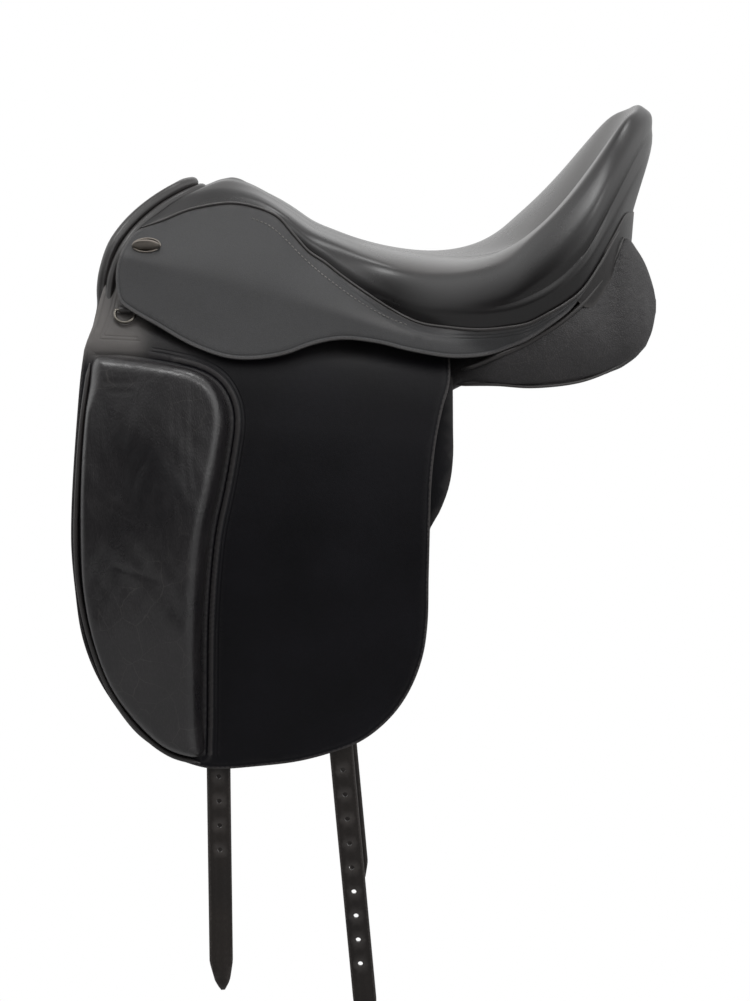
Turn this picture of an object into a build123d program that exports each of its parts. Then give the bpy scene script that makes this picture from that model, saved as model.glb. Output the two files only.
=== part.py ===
"""Dressage saddle, one STEP file per piece.  Millimetres.  X to the cantle, -Y near side, Z up.

Origin: centre of the gullet channel's roof, under the waist of the seat.
The seat is 457 mm from nail head to cantle, an 18 inch seat.
"""
import os
from math import hypot

from build123d import *

LEATHER_FLAP = 4.5
LEATHER_SKIRT = 3.5
LEATHER_SWEAT = 3.0
LEATHER_STRAP = 4.0
LEATHER_COVER = 3.0
STRAP_WIDTH = 20.0
HOLE_R = 2.2
HOLE_PITCH = 21.5
STRAP_IN = 8.0             # strap's outer face, inside the flap's outer face
SWEAT_IN = 16.0            # sweat flap's outer face, inside the flap's outer face
BLOCK_PROUD = 34.0
BAR_T, BAR_H = 6.0, 12.0
PIN_R, RUN = 1.5, 0.05
RING_WIRE_R = 1.3
ROLL_R = 7.0

# Leather layers at the side hang as sheets swept along this line, so that they fold about it.
FOLD = Vector(1.0, -0.04, -0.09)
FOLD_X, FOLD_Z = -132.0, -4.0
# Flap's outer face: (height from the fold line's plane at FOLD_X, distance from the centre plane).
FLAP_FACE = [(62, 90), (45, 104), (34, 113), (18, 126), (0, 138), (-50, 157), (-100, 169.5),
             (-150, 178.5), (-250, 188), (-350, 193), (-450, 194), (-640, 194)]
# The skirt folds about a steeper line, under the seat's seam.
SK = Vector(1.0, -0.145, -0.25)
SK_X, SK_Y, SK_Z = -243.0, 106.0, 84.0
SKIRT_FACE = [(0, 0), (-12, 3), (-24, 8.5), (-40, 16.5), (-60, 28), (-75, 37)]

YZ = Plane(origin=(0, 0, 0), x_dir=(0, 1, 0), z_dir=(1, 0, 0))


def mirrored(shape):
    return mirror(shape, about=Plane.XZ)


def face_at(x, pts):
    """Closed polygon of (y, z) points in the plane X = x."""
    edge = Polyline(*[(x, y, z) for y, z in pts], close=True)
    return Face(Wire(edge.edges()))


def ruled(stations):
    """Solid through polygons [(x, [(y, z), ...]), ...] with equal point counts."""
    pts = stations[0][1]
    area = sum(a[0] * b[1] - b[0] * a[1] for a, b in zip(pts, pts[1:] + pts[:1]))
    if area < 0:
        stations = [(x, pts[::-1]) for x, pts in stations]
    return loft([face_at(x, pts) for x, pts in stations], ruled=True)


def side_prism(pts, y0, y1, smooth=False):
    """Outline of (x, z) points, carried from y0 to y1."""
    line = Spline(*[(x, y0, z) for x, z in pts], periodic=True) if smooth else \
        Polyline(*[(x, y0, z) for x, z in pts], close=True)
    return extrude(Face(Wire(line.edges())), amount=y1 - y0, dir=(0, 1, 0))


def plan_prism(pts, z0, z1):
    line = Polyline(*[(x, y, z0) for x, y in pts], close=True)
    return extrude(Face(Wire(line.edges())), amount=z1 - z0, dir=(0, 0, 1))


def offset_line(pts, d):
    """Open polyline moved by d to its right-hand side."""
    out = []
    for i, (u, v) in enumerate(pts):
        u0, v0 = pts[max(i - 1, 0)]
        u1, v1 = pts[min(i + 1, len(pts) - 1)]
        n = hypot(u1 - u0, v1 - v0)
        out.append((u + d * (v1 - v0) / n, v - d * (u1 - u0) / n))
    return out


def thin_section(outer, thickness):
    """Face in the plane X = 0 between a smooth (y, z) line and its copy moved inwards."""
    inner = offset_line(outer, thickness)
    a = Spline(*[(0, y, z) for y, z in outer])
    b = Spline(*[(0, y, z) for y, z in inner])
    ends = [Line(a @ 0, b @ 0), Line(a @ 1, b @ 1)]
    return Face(Wire([*a.edges(), *b.edges(), *ends[0].edges(), *ends[1].edges()]))


def swept_sheet(outer, thickness, direction, x_ref, x0, x1):
    """Sheet through the plane X = x_ref, carried along a slanted direction from x0 to x1."""
    face = thin_section(outer, thickness)
    start = Vector(x0, direction.Y * (x0 - x_ref), direction.Z * (x0 - x_ref))
    return extrude(face.moved(Location(start)), amount=(x1 - x0) * direction.length,
                   dir=direction)


def layer(inside, thickness, top, bottom, x0=-300.0, x1=70.0):
    """Near-side leather layer, its outer face `inside` mm in from the flap's outer face."""
    line = offset_line([(-a, h) for h, a in FLAP_FACE], -inside)
    keep = [p for p in line if bottom < p[1] < top]

    def at(z):
        for (ya, za), (yb, zb) in zip(line, line[1:]):
            if zb <= z <= za:
                return (ya + (yb - ya) * (z - za) / (zb - za), z)
        return line[0] if z > line[0][1] else line[-1]

    return swept_sheet([at(top)] + keep + [at(bottom)], -thickness, FOLD, FOLD_X, x0, x1)


def flap_z(x, height):
    """Height in the world of a point `height` above the layers' reference at FOLD_X."""
    return height + FOLD.Z * (x - FOLD_X)


def tube(points, r):
    path = Polyline(*points)
    ring = Plane(origin=path @ 0, z_dir=path % 0) * Circle(r)
    return sweep(ring, path=path, transition=Transition.RIGHT)


def both(pts):
    """Half line (x, a, z) from the side up to the middle, made into a full one."""
    left = [(x, -a, z) for x, a, z in pts]
    right = [(x, a, z) for x, a, z in reversed(pts) if a > 1e-6]
    return left + right


parts = {}


def pair(name, near):
    parts["left_" + name] = near
    parts["right_" + name] = mirrored(near)


# ---------------------------------------------------------------- pommel arch and tree
GULLET = [(0, 110), (20, 107), (36, 97), (50, 80), (64, 55), (78, 25), (90, -8), (98, -38)]
CUT_BACK = [(-158, 0), (-168, 28), (-190, 48), (-209, 64), (-224, 80), (-232, 96), (-236, 120)]


def arch(t0, t1, low):
    """Upside-down U between two offsets of the gullet line, down to the height low."""
    a = offset_line(GULLET, -t0)
    b = offset_line(GULLET, -t1)
    inner = [p for p in a if p[1] > low]
    outer = [p for p in b if p[1] > low - 6]
    ring = [(-y, z) for y, z in reversed(inner)] + inner[1:] + list(reversed(outer)) + \
        [(-y, z) for y, z in outer[1:]]
    return extrude(face_at(-290, ring), amount=240, dir=(1, 0, 0))


def cut_back(d0, d1):
    """Plan region between two copies of the cut-back line moved back by d0 and d1."""
    front = [(x + d0, y) for x, y in CUT_BACK]
    rear = [(x + d1, y) for x, y in CUT_BACK]
    line = [(x, -y) for x, y in reversed(front)] + front[1:]
    line2 = list(reversed([(x, -y) for x, y in reversed(rear)] + rear[1:]))
    return plan_prism(line + line2, -80, 200)


parts["gullet_liner"] = arch(0.2, 2.6, -34) & cut_back(4, 44)
parts["gullet_plate"] = arch(3, 6, -20) & cut_back(16, 34)
tree_head = (arch(6, 15, -34) & cut_back(10, 36)) - parts["gullet_plate"]
parts["head_plate"] = (arch(15, 17.4, 85) & cut_back(18, 30)) - tree_head
parts["pommel_roll"] = tube(both([(-253, 97, 40), (-254, 93, 54), (-251.5, 88, 70), (-245.5, 80, 88),
    (-237, 71, 101), (-226, 60, 113), (-211, 47, 125), (-193, 27, 135), (-182, 0, 138)]), ROLL_R)
parts["pommel_facing"] = tube(both([(-241.5, 97, 58), (-240, 92, 68), (-235, 83, 82),
    (-227, 74, 95), (-216, 62, 107), (-200, 48, 118), (-178, 27, 127), (-168, 0, 130)]), ROLL_R - 1.0)
parts["pommel_facing"] = parts["pommel_facing"] - parts["pommel_roll"]

RAIL = [(-172, [(46, 84), (64, 76), (70, 88), (52, 98)]),
        (-110, [(54, 66), (80, 58), (86, 70), (60, 80)]),
        (-40, [(58, 34), (86, 30), (90, 42), (60, 48)]),
        (20, [(60, 12), (96, 12), (98, 21), (60, 22)]),
        (80, [(60, 15.5), (118, 14.5), (118, 21), (60, 22)]),
        (140, [(50, 44), (116, 44), (112, 56), (48, 58)])]
rail_r = ruled(RAIL)
for piece in ("gullet_liner", "gullet_plate", "head_plate"):
    rail_r = rail_r - parts[piece]
rail_r = rail_r - tree_head
rails = [mirrored(rail_r), rail_r]
parts["left_tree_rail"], parts["right_tree_rail"] = rails

# ---------------------------------------------------------------- seat
# x: (centre z), then (half width, z) out to the seam
SEAT = [(-226, 122, (25, 121), (50, 116), (64, 111), (72, 107)),
        (-190, 138, (24, 137), (44, 131), (56, 125), (63.5, 120)),
        (-154, 146, (22, 144), (42, 137), (54, 131), (60, 127)),
        (-108, 124, (30, 123.5), (54, 121), (64, 119), (70, 117)),
        (-77, 103, (34, 102), (64, 97), (78, 91), (84.5, 86)),
        (-46, 91, (40, 90), (74, 83), (88, 74), (94.5, 66)),
        (-8, 81, (45, 80), (82, 71), (96, 57), (102, 41)),
        (30, 77, (52, 77), (96, 70), (118, 52), (127, 28)),
        (66, 72, (60, 73), (122, 71), (143, 52), (145, 27)),
        (94, 73, (62, 76), (128, 87), (150, 66), (152, 31)),
        (122, 83, (62, 88), (128, 109), (152, 84), (153, 42)),
        (151, 104, (60, 112), (122, 138), (145, 108), (144, 60)),
        (176, 140, (54, 148), (102, 167), (122, 140), (122, 96)),
        (196, 188, (40, 192), (72, 191), (88, 160), (88, 120)),
        (214, 207, (28, 203), (46, 186), (54, 155), (54, 124)),
        (225, 188, (10, 186), (18, 172), (22, 155), (20, 140))]


def seat_solid(d, low, x0=-999, x1=999, shift=0.0):
    """Seat body d mm inside the leather's outer face, closed below the seam by low."""
    out = []
    for x, zc, *half in SEAT:
        if not x0 <= x <= x1:
            continue
        line = offset_line([(0, zc)] + list(half), d)
        line[0] = (0, zc - d)
        line.append((line[-1][0], line[-1][1] - low))
        ring = [(-y, z) for y, z in reversed(line[1:])] + line
        out.append((x + shift * (1 if x > 200 else 0), ring))
    return ruled(out)


front_cut = plan_prism([(-300, -130)] + [(x + 6, -y) for x, y in reversed(CUT_BACK)] +
                       [(x + 6, y) for x, y in CUT_BACK[1:]] + [(-300, 130)], -60, 220)
outer = seat_solid(0, 1.0)
inner = seat_solid(LEATHER_COVER, 8.0, shift=-LEATHER_COVER)
shell = (outer - inner) - front_cut
facing_zone = side_prism([(97, 46), (112, 58), (129, 73), (144, 91), (157, 108), (172, 128),
    (192, 149), (204, 172), (211, 189), (245, 196), (245, 60), (180, 20), (97, 20)], -180, 180)
parts["seat_cover"] = shell - facing_zone
parts["cantle_facing"] = shell & facing_zone

CANTLE = [(120, 48, (40, 48), (90, 48), (116, 46)),
          (151, 80, (40, 86), (90, 100), (118, 74)),
          (176, 118, (40, 126), (84, 136), (102, 104)),
          (196, 160, (30, 164), (56, 158), (68, 126)),
          (204, 174, (20, 172), (34, 158), (40, 130))]
cantle_poly = []
for x, zc, *half in CANTLE:
    base = {120: 38, 151: 54, 176: 86, 196: 98, 204: 114}[x]
    line = [(0, zc)] + list(half) + [(half[-1][0], base), (0, base)]
    ring = [(-y, z) for y, z in reversed(line[1:-1])] + line[:-1]
    cantle_poly.append((x, ring))
cantle = ruled(cantle_poly)
for r in rails:
    cantle = cantle - r
parts["tree_cantle"] = cantle

foam = seat_solid(LEATHER_COVER, 0.5, shift=-LEATHER_COVER) - front_cut
foam = foam - tree_head - cantle - parts["head_plate"] - parts["gullet_liner"]
for r in rails:
    foam = foam - r
parts["seat_foam"] = foam

SEAM = [(-223, 76, 106), (-207, 70, 111), (-184, 65, 120), (-163, 62.5, 124.5), (-145, 62, 126),
        (-126, 65, 123), (-106, 73, 115), (-92, 80, 100), (-79, 86, 86), (-65, 91.5, 77),
        (-52, 95.5, 67), (-32, 99.5, 53), (-8, 104.5, 38), (15, 118, 28), (40, 134, 25.5),
        (66, 148, 25), (89, 154, 27.5), (106, 156, 31), (122, 156, 39), (138, 152.5, 48),
        (151, 147.5, 58), (166, 136, 78), (178, 122, 97), (189, 102, 113)]
pair("seat_welt", tube([(x, -a - 2.4, z - 1.6) for x, a, z in SEAM[1:]], 1.6))
parts["seat_cover"] = parts["seat_cover"] - parts["left_seat_welt"] - parts["right_seat_welt"]


def seam_z(x):
    for (xa, *_, (__, za)), (xb, *_, (__, zb)) in zip(SEAT, SEAT[1:]):
        if xa <= x <= xb:
            return za + (zb - za) * (x - xa) / (xb - xa)


web = []
for x0, x1 in ((-76, -50), (-40, -12), (34, 60)):
    web.append(ruled([(x, [(-78, seam_z(x) - 4.8), (78, seam_z(x) - 4.8), (78, seam_z(x) - 3.2),
                           (-78, seam_z(x) - 3.2)]) for x in (x0, x1)]))
parts["seat_webbing"] = Compound(web)

# ---------------------------------------------------------------- panels
PANEL = [(-226, [(40, 44), (60, 46), (70, 22), (92, -44), (88, -58), (72, -56), (50, 8)]),
         (-190, [(36, 48), (58, 52), (72, 20), (94, -42), (94, -60), (74, -56), (46, 16)]),
         (-150, [(34, 44), (60, 54), (88, 22), (112, -40), (108, -62), (84, -50), (42, 24)]),
         (-60, [(32, 22), (56, 34), (104, 12), (128, -40), (124, -64), (84, -38), (38, 0)]),
         (10, [(32, -4), (56, 7), (102, 2), (120, -28), (124, -58), (84, -36), (36, -22)]),
         (50, [(32, -4), (56, 8), (106, 5), (125, -12), (127, -32), (84, -26), (34, -18)]),
         (80, [(32, 3), (56, 12), (128, 11), (146, 2), (143, -25), (84, -20), (34, -12)]),
         (110, [(32, 16), (56, 24), (130, 24), (150, 17), (146, -26), (84, -18), (34, -8)]),
         (150, [(32, 38), (56, 44), (118, 46), (138, 45), (134, -23), (84, -12), (34, 2)]),
         (185, [(34, 78), (56, 84), (90, 88), (106, 90), (110, -11), (84, -6), (36, 12)]),
         (206, [(42, 74), (56, 80), (80, 82), (94, 76), (96, 6), (84, 4), (44, 16)]),
         (218, [(54, 50), (60, 54), (72, 56), (82, 50), (82, 30), (72, 26), (58, 30)])]
pair("panel", ruled([(x, [(-a, z) for a, z in pts]) for x, pts in PANEL]))
pair("panel_piping", tube([(x, -a, z) for x, a, z in [
    (52, 132, -11), (66, 141, -5), (80, 149, 2), (96, 152.4, 9), (110, 153, 16.5), (132, 149.5, 30),
    (150, 142.5, 44), (164, 133, 59), (176, 121, 75), (184, 110.5, 89), (189, 105, 98)]], 2.2))
parts["channel_liner"] = ruled([(x, [(-30, z), (-18, z + 3), (18, z + 3), (30, z), (30, z - 2),
    (18, z + 1), (-18, z + 1), (-30, z - 2)]) for x, z in
    ((-140, 54), (-60, 24), (0, 1.5), (50, 3), (110, 24), (150, 44), (182, 80))])

# ---------------------------------------------------------------- flap, block, sweat flap
HINGE_GAP = 1.0


def flap_line(x, d):
    """Height of the flap's fold line at x, raised by d."""
    return flap_z(x, FOLD_Z + d)


FLAP_TOP = [(-265.5, 13), (-259.5, 30), (-257, 44), (-253.5, 58), (-249, 66), (-226, 62), (-214, 46),
            (-196, 37), (-132, 30), (-60, 23.5), (41, 14), (43, flap_line(43, HINGE_GAP)),
            (-268, flap_line(-268, HINGE_GAP))]
flap_top = layer(0, LEATHER_FLAP, 61, -12) & side_prism(FLAP_TOP, -260, -40)
pair("flap_top", flap_top - parts["pommel_roll"] - parts["pommel_facing"])

FLAP = [(-268.5, flap_line(-268, -HINGE_GAP)), (-270, -16), (-272.5, -51), (-275.5, -98), (-277, -134),
        (-277, -157), (-274.5, -189), (-269, -230), (-258, -262), (-241, -291), (-221, -316),
        (-195, -333), (-171, -342), (-156, -344), (-123, -341.5), (-86, -336.5), (-56, -328),
        (-36, -320), (-19, -308), (-3, -291), (9, -271), (18, -246), (22, -219), (23, -177),
        (24, -138), (25, -106), (29, -68), (35, -40), (41, flap_line(41, -HINGE_GAP))]
flap = layer(0, LEATHER_FLAP, 20, -380) & side_prism(FLAP, -260, -100)
pair("flap", flap)

BLOCK = [(-257, -2.5), (-232, -4), (-210, -6.5), (-190, -9.5), (-170, -14), (-155, -22.5), (-146, -37),
         (-143.5, -52), (-146.5, -78), (-152.5, -111), (-158.5, -139), (-162.5, -172), (-165.5, -216),
         (-166.5, -264), (-167, -301), (-168, -331), (-193, -326), (-216, -307.5), (-239.5, -276),
         (-255, -235), (-263.5, -191), (-265.5, -143), (-264, -77), (-260.5, -25)]
block_line = Polyline(*[(x, -140, z) for x, z in BLOCK], close=True)
block = extrude(Face(Wire(block_line.edges())), amount=100, dir=(0, -1, 0), taper=14)
block = (block & layer(-BLOCK_PROUD, BLOCK_PROUD + 2, 20, -380)) - flap
pair("knee_block", block)


def on_flap(x, z, out):
    """Near-side point (x, y, z) standing `out` from the flap's outer face."""
    h = z - FOLD.Z * (x - FOLD_X)
    for (ha, aa), (hb, ab) in zip(FLAP_FACE, FLAP_FACE[1:]):
        if hb <= h <= ha:
            a = aa + (ab - aa) * (h - ha) / (hb - ha)
            return (x, -a + FOLD.Y * (x - FOLD_X) - out, z)
    return (x, -FLAP_FACE[0][1] - out, z)


PIPE = [(-262, -9), (-267.5, -50), (-271, -100), (-272.5, -150), (-270, -192), (-260.5, -237),
        (-244, -279), (-219.5, -312), (-194.5, -331), (-172, -338)]
pair("block_piping", tube([on_flap(x, z, 4.5) for x, z in PIPE], 2.2))

SWEAT_H = -66.0


def sweat_line(x, d):
    """Height of the sweat flap's fold line at x, raised by d."""
    return flap_z(x, SWEAT_H + d)


SWEAT_TOP = [(-222, 14), (-140, 8), (-50, 0), (30, -6), (44, -16),
             (44, sweat_line(44, HINGE_GAP)), (-232, sweat_line(-232, HINGE_GAP))]
SWEAT = [(-234, sweat_line(-234, -HINGE_GAP)), (-240, -110), (-242, -160), (-238, -210),
         (-226, -252), (-204, -284), (-170, -304), (-120, -312), (-70, -306), (-34, -288),
         (-8, -258), (6, -220), (14, -180), (24, -143), (33, -127), (41, -105),
         (44, sweat_line(44, -HINGE_GAP))]
pair("sweat_flap_top", layer(SWEAT_IN, LEATHER_SWEAT, 24, -90) & side_prism(SWEAT_TOP, -260, -60))
pair("sweat_flap", layer(SWEAT_IN, LEATHER_SWEAT, -40, -350) & side_prism(SWEAT, -260, -80))

# ---------------------------------------------------------------- girth straps
WEB_TOP, WEB_LOW = 22.0, 4.0
pair("girth_web", layer(STRAP_IN, LEATHER_STRAP, 28, -6) & side_prism(
    [(-186, flap_z(-186, WEB_TOP)), (-186, flap_z(-186, WEB_LOW)),
     (-52, flap_z(-52, WEB_LOW)), (-52, flap_z(-52, WEB_TOP))], -260, -60))


def strap(x_top, z_top, x_hem, z_hem, x_tip, z_tip, holes, first):
    """Upper strip and punched tail of one girth strap; they fold about a line at the hem."""
    half = STRAP_WIDTH / 2
    lean = (x_tip - x_hem) / (z_hem - z_tip)
    up = [(x_top - half, z_top), (x_top + half, z_top), (x_hem + half, z_hem + 2.0),
          (x_hem - half, z_hem + 2.0)]
    low = [(x_hem - half, z_hem - 1.0), (x_hem + half, z_hem - 1.0),
           (x_tip + half - 2, z_tip + 24), (x_tip + 1.5, z_tip), (x_tip - 1.5, z_tip),
           (x_tip - half - 2, z_tip + 24)]
    upper = layer(STRAP_IN, LEATHER_STRAP, 14, -400) & side_prism(up, -260, -60)
    tail = layer(STRAP_IN, LEATHER_STRAP, -300, -630) & side_prism(low, -260, -60)
    for k in range(holes):
        z = first - k * HOLE_PITCH
        x = x_hem + lean * (z_hem - z)
        drill = Cylinder(HOLE_R, 60).moved(Location((x, -186, z), (90, 0, 0)))
        tail = tail - drill
    return upper, tail


# Top, hem and tip of each strap, its holes and the first hole's height.  The off-side straps hang
# a little further forward.
STRAPS = {"left_front": (-160, 2, -155, -346.5, -153.4, -544, 4, -353.0),
          "left_rear": (-78, -6, -50.5, -331.0, -29.5, -578, 9, -346.0),
          "right_front": (-165, 2, -179, -348.5, -179, -544, 4, -353.0),
          "right_rear": (-80, -6, -59, -332.0, -38.1, -578, 9, -346.0)}
for name, sizes in STRAPS.items():
    for part, solid in zip(("_strap", "_strap_tail"), strap(*sizes)):
        parts[name + part] = mirrored(solid) if name.startswith("right") else solid

# ---------------------------------------------------------------- skirt
def skirt_line(x, d):
    """Height of the skirt's fold line at x, raised by d."""
    return SK_Z + SK.Z * (x - SK_X) + d


skirt_sheet = swept_sheet([(-SK_Y - f, SK_Z + w) for w, f in SKIRT_FACE], -LEATHER_SKIRT, SK, SK_X,
                          -262, 110)
SKIRT = [(-242, 65), (-238, 46), (-229, 39), (-205, 26), (-188, 16.5), (-172, 9), (-146, 1),
         (-123, 0), (-97, 4), (-77, 11), (-60, 15), (-45, 16), (-19, 13), (7, 7), (40, 2), (63, 2.5),
         (74, 3.4)]
skirt_pts = [(-240.5, skirt_line(-240.5, -HINGE_GAP))] + SKIRT + [(76, skirt_line(76, -HINGE_GAP))]
pair("skirt", skirt_sheet & side_prism(skirt_pts, -260, -60))

STRIP = [(-237, 100.5, 84, 90), (-224, 76.5, 81, 105), (-207, 70, None, 110), (-184, 65, None, 119),
         (-163, 62.5, None, 123.5), (-145, 62, None, 125), (-126, 65, None, 122),
         (-106, 73, None, 114), (-92, 80, None, 99), (-79, 86, None, 85), (-65, 91.5, None, 76),
         (-52, 95.5, None, 66), (-32, 99.5, None, 52), (-8, 104.5, None, 37), (15, 118, None, 27),
         (40, 134, None, 24.5), (66, 148, None, 24), (80, 152, None, 25.5), (89, 154.5, (9.5, 154), 26.5),
         (106, 157, (17.5, 158), 30), (122, 157, (28, 158), 38), (138, 153.5, (39.5, 155), 47),
         (151, 148.5, (54, 150), 57), (166, 137, (74, 138.5), 77), (176, 125.5, (90, 127), 93)]
stations = []
for x, a_top, low, z_top in STRIP:
    if isinstance(low, tuple):
        z_low, a_low = low
    else:
        z_low, a_low = skirt_line(x, HINGE_GAP), SK_Y - SK.Y * (x - SK_X)
    a_up, z_up = a_top + 4, z_top - 3
    n = hypot(a_up - a_low, z_up - z_low)
    ny, nz = (z_up - z_low) / n, (a_up - a_low) / n
    t = LEATHER_SKIRT - 0.4
    quad = [(-a_low, z_low), (-a_up, z_up), (-a_up + ny * t, z_up + nz * t),
            (-a_low + t / max(ny, 0.35), z_low)]
    stations.append((x, quad))
strip = ruled(stations) - parts["left_seat_welt"]
stud = scale(Sphere(1.0), by=(12, 7, 3.4))
stud = stud & Box(40, 40, 10, align=(Align.CENTER, Align.CENTER, Align.MIN))
pair("skirt_stud", stud.moved(Location((-217, -101.2, 91), (125, 0, 0))))
pair("skirt_seam", strip - parts["left_skirt_stud"] - parts["left_panel_piping"])

# ---------------------------------------------------------------- stirrup bars
bar_y, bar_z = 104.0, 50.0
plate = Box(80, 4, 26).moved(Location((-150, -88, 60)))
arm = Box(10, 24, BAR_H).moved(Location((-185, -98, bar_z)))
bar = Box(66, BAR_T, BAR_H).moved(Location((-153, -bar_y - BAR_T / 2, bar_z)))
tongue = Box(10, 3, BAR_H - 2).moved(Location((-117, -bar_y - BAR_T / 2, bar_z)))
pin_x = -114.0
bar_bar = plate + arm + bar + tongue
drill = Cylinder(PIN_R, 40).moved(Location((pin_x, -107, bar_z), (90, 0, 0)))
bar_bar = bar_bar - drill
pair("stirrup_bar", bar_bar)
parts["tree_head"] = tree_head - parts["left_stirrup_bar"] - parts["right_stirrup_bar"]
pair("catch_pin", Cylinder(PIN_R, 8.6).moved(Location((pin_x, -107, bar_z), (90, 0, 0))))
ear = Cylinder(5, 2.2).moved(Location((pin_x, 0, bar_z), (90, 0, 0))) + \
    Box(9, 2.2, 10).moved(Location((pin_x + 4.5, 0, bar_z)))
catch = ear.moved(Location((0, -103.9, 0))) + ear.moved(Location((0, -110.1, 0)))
catch = catch + Box(9, 8.4, 6).moved(Location((pin_x + 10.5, -107, bar_z - 2)))
bore = Cylinder(PIN_R + RUN, 40).moved(Location((pin_x, -107, bar_z), (90, 0, 0)))
pair("stirrup_catch", catch - bore)
rivets = [Cylinder(2.5, 3).moved(Location((x, -91.5, 67), (90, 0, 0))) for x in
          (-180, -160, -140, -120)]
pair("bar_rivets", Compound(rivets))

# ---------------------------------------------------------------- D-rings
RING_X, RING_Y, RING_Z = -234.0, -118.0, 38.0
RING_LEAN = -38.0          # lies on the flap's slope
half_w, drop = 7.5, 12.5
arc = ThreePointArc((half_w, 0, 0), (0, 0, -drop), (-half_w, 0, 0))
bow = sweep(Plane(origin=arc @ 0, z_dir=arc % 0) * Circle(RING_WIRE_R), path=arc)
rod = Cylinder(RING_WIRE_R, 2 * half_w + 2 * RING_WIRE_R).moved(Location((0, 0, 0), (0, 90, 0)))
pair("d_ring", (bow + rod).moved(Location((RING_X, RING_Y, RING_Z), (RING_LEAN, 0, 0))))
loop = Cylinder(RING_WIRE_R + 1.5, 10).moved(Location((0, 0, 0), (0, 90, 0))) - \
    Cylinder(RING_WIRE_R + 0.12, 30).moved(Location((0, 0, 0), (0, 90, 0)))
tab = Box(10, 1.6, 13).moved(Location((0, 2.0, 8.0)))
pair("d_ring_chape", (loop + tab).moved(Location((RING_X, RING_Y, RING_Z), (RING_LEAN, 0, 0))))

# Stuffed and lining pieces give way to the pieces they are built round.
for side in ("left_", "right_"):
    panel = parts[side + "panel"]
    for other in ("sweat_flap_top", "flap_top", "tree_rail", "girth_web"):
        panel = panel - parts[side + other]
    panel = panel - parts["tree_head"] - parts["tree_cantle"] - parts["gullet_plate"]
    parts[side + "panel"] = panel
    parts["gullet_liner"] = parts["gullet_liner"] - panel

os.makedirs("parts", exist_ok=True)
for name, shape in parts.items():
    export_step(shape, f"parts/{name}.step")
    b = shape.bounding_box()
    print(f"{name:20s} {len(shape.solids())} {shape.volume / 1000:8.1f}cc "
          f"x {b.min.X:.0f}..{b.max.X:.0f} y {b.min.Y:.0f}..{b.max.Y:.0f} z {b.min.Z:.0f}..{b.max.Z:.0f}")
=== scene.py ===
"""Looks of the dressage saddle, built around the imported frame.  Lengths are written in millimetres and
turned into metres as each mesh is made.  +X cantle, -Y near side, +Z up."""
import math

import bmesh
import bpy
import numpy as np
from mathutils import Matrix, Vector, kdtree
from mathutils.geometry import delaunay_2d_cdt


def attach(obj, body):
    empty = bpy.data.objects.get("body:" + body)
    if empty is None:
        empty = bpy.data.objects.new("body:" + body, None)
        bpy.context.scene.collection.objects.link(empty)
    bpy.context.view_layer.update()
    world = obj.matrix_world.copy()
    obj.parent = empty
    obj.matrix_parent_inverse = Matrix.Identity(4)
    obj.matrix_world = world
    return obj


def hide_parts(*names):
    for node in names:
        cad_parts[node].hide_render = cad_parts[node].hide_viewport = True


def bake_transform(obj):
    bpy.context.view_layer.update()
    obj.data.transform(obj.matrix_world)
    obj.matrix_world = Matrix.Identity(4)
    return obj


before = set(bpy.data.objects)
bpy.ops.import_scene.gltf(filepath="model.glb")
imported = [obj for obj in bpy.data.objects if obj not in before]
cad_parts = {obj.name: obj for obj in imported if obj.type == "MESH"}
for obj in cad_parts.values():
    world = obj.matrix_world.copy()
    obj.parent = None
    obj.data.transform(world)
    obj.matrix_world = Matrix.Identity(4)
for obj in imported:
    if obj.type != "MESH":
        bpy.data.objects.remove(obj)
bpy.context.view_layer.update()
scene = bpy.context.scene


# ------------------------------------------------------------------ curves
SPAN = 12               # points on each span of a spline before it is evened out


def chain(q, counts):
    """Centripetal curve through q[1:-1], whose neighbours past the ends are q[0] and q[-1], without its last point."""
    out = []
    for i in range(1, len(q) - 2):
        p0, p1, p2, p3 = q[i - 1:i + 3]
        t0, t1, t2 = [max(np.linalg.norm(v) ** 0.5, 1e-6) for v in (p1 - p0, p2 - p1, p3 - p2)]
        m1 = ((p1 - p0) / t0 - (p2 - p0) / (t0 + t1) + (p2 - p1) / t1) * t1
        m2 = ((p2 - p1) / t1 - (p3 - p1) / (t1 + t2) + (p3 - p2) / t2) * t1
        for t in np.linspace(0, 1, counts[i - 1], endpoint=False):
            out.append((2 * t ** 3 - 3 * t ** 2 + 1) * p1 + (t ** 3 - 2 * t ** 2 + t) * m1
                       + (-2 * t ** 3 + 3 * t ** 2) * p2 + (t ** 3 - t ** 2) * m2)
    return out


def spline(points, step=None, count=None, closed=False):
    """Smooth curve through points, evenly spaced."""
    p = np.asarray(points, float)
    if closed:
        q = np.vstack([p[-1], p, p[0], p[1]])
    else:
        q = np.vstack([2 * p[0] - p[1], p, 2 * p[-1] - p[-2]])
    return even(np.array(chain(q, [SPAN] * (len(q) - 3)) + [q[-2]]), step, count)


def even(line, step=None, count=None):
    d = np.concatenate([[0], np.cumsum(np.linalg.norm(np.diff(line, axis=0), axis=1))])
    n = count or max(int(round(d[-1] / step)), 2) + 1
    s = np.linspace(0, d[-1], n)
    return np.stack([np.interp(s, d, line[:, k]) for k in range(line.shape[1])], 1)


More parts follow.
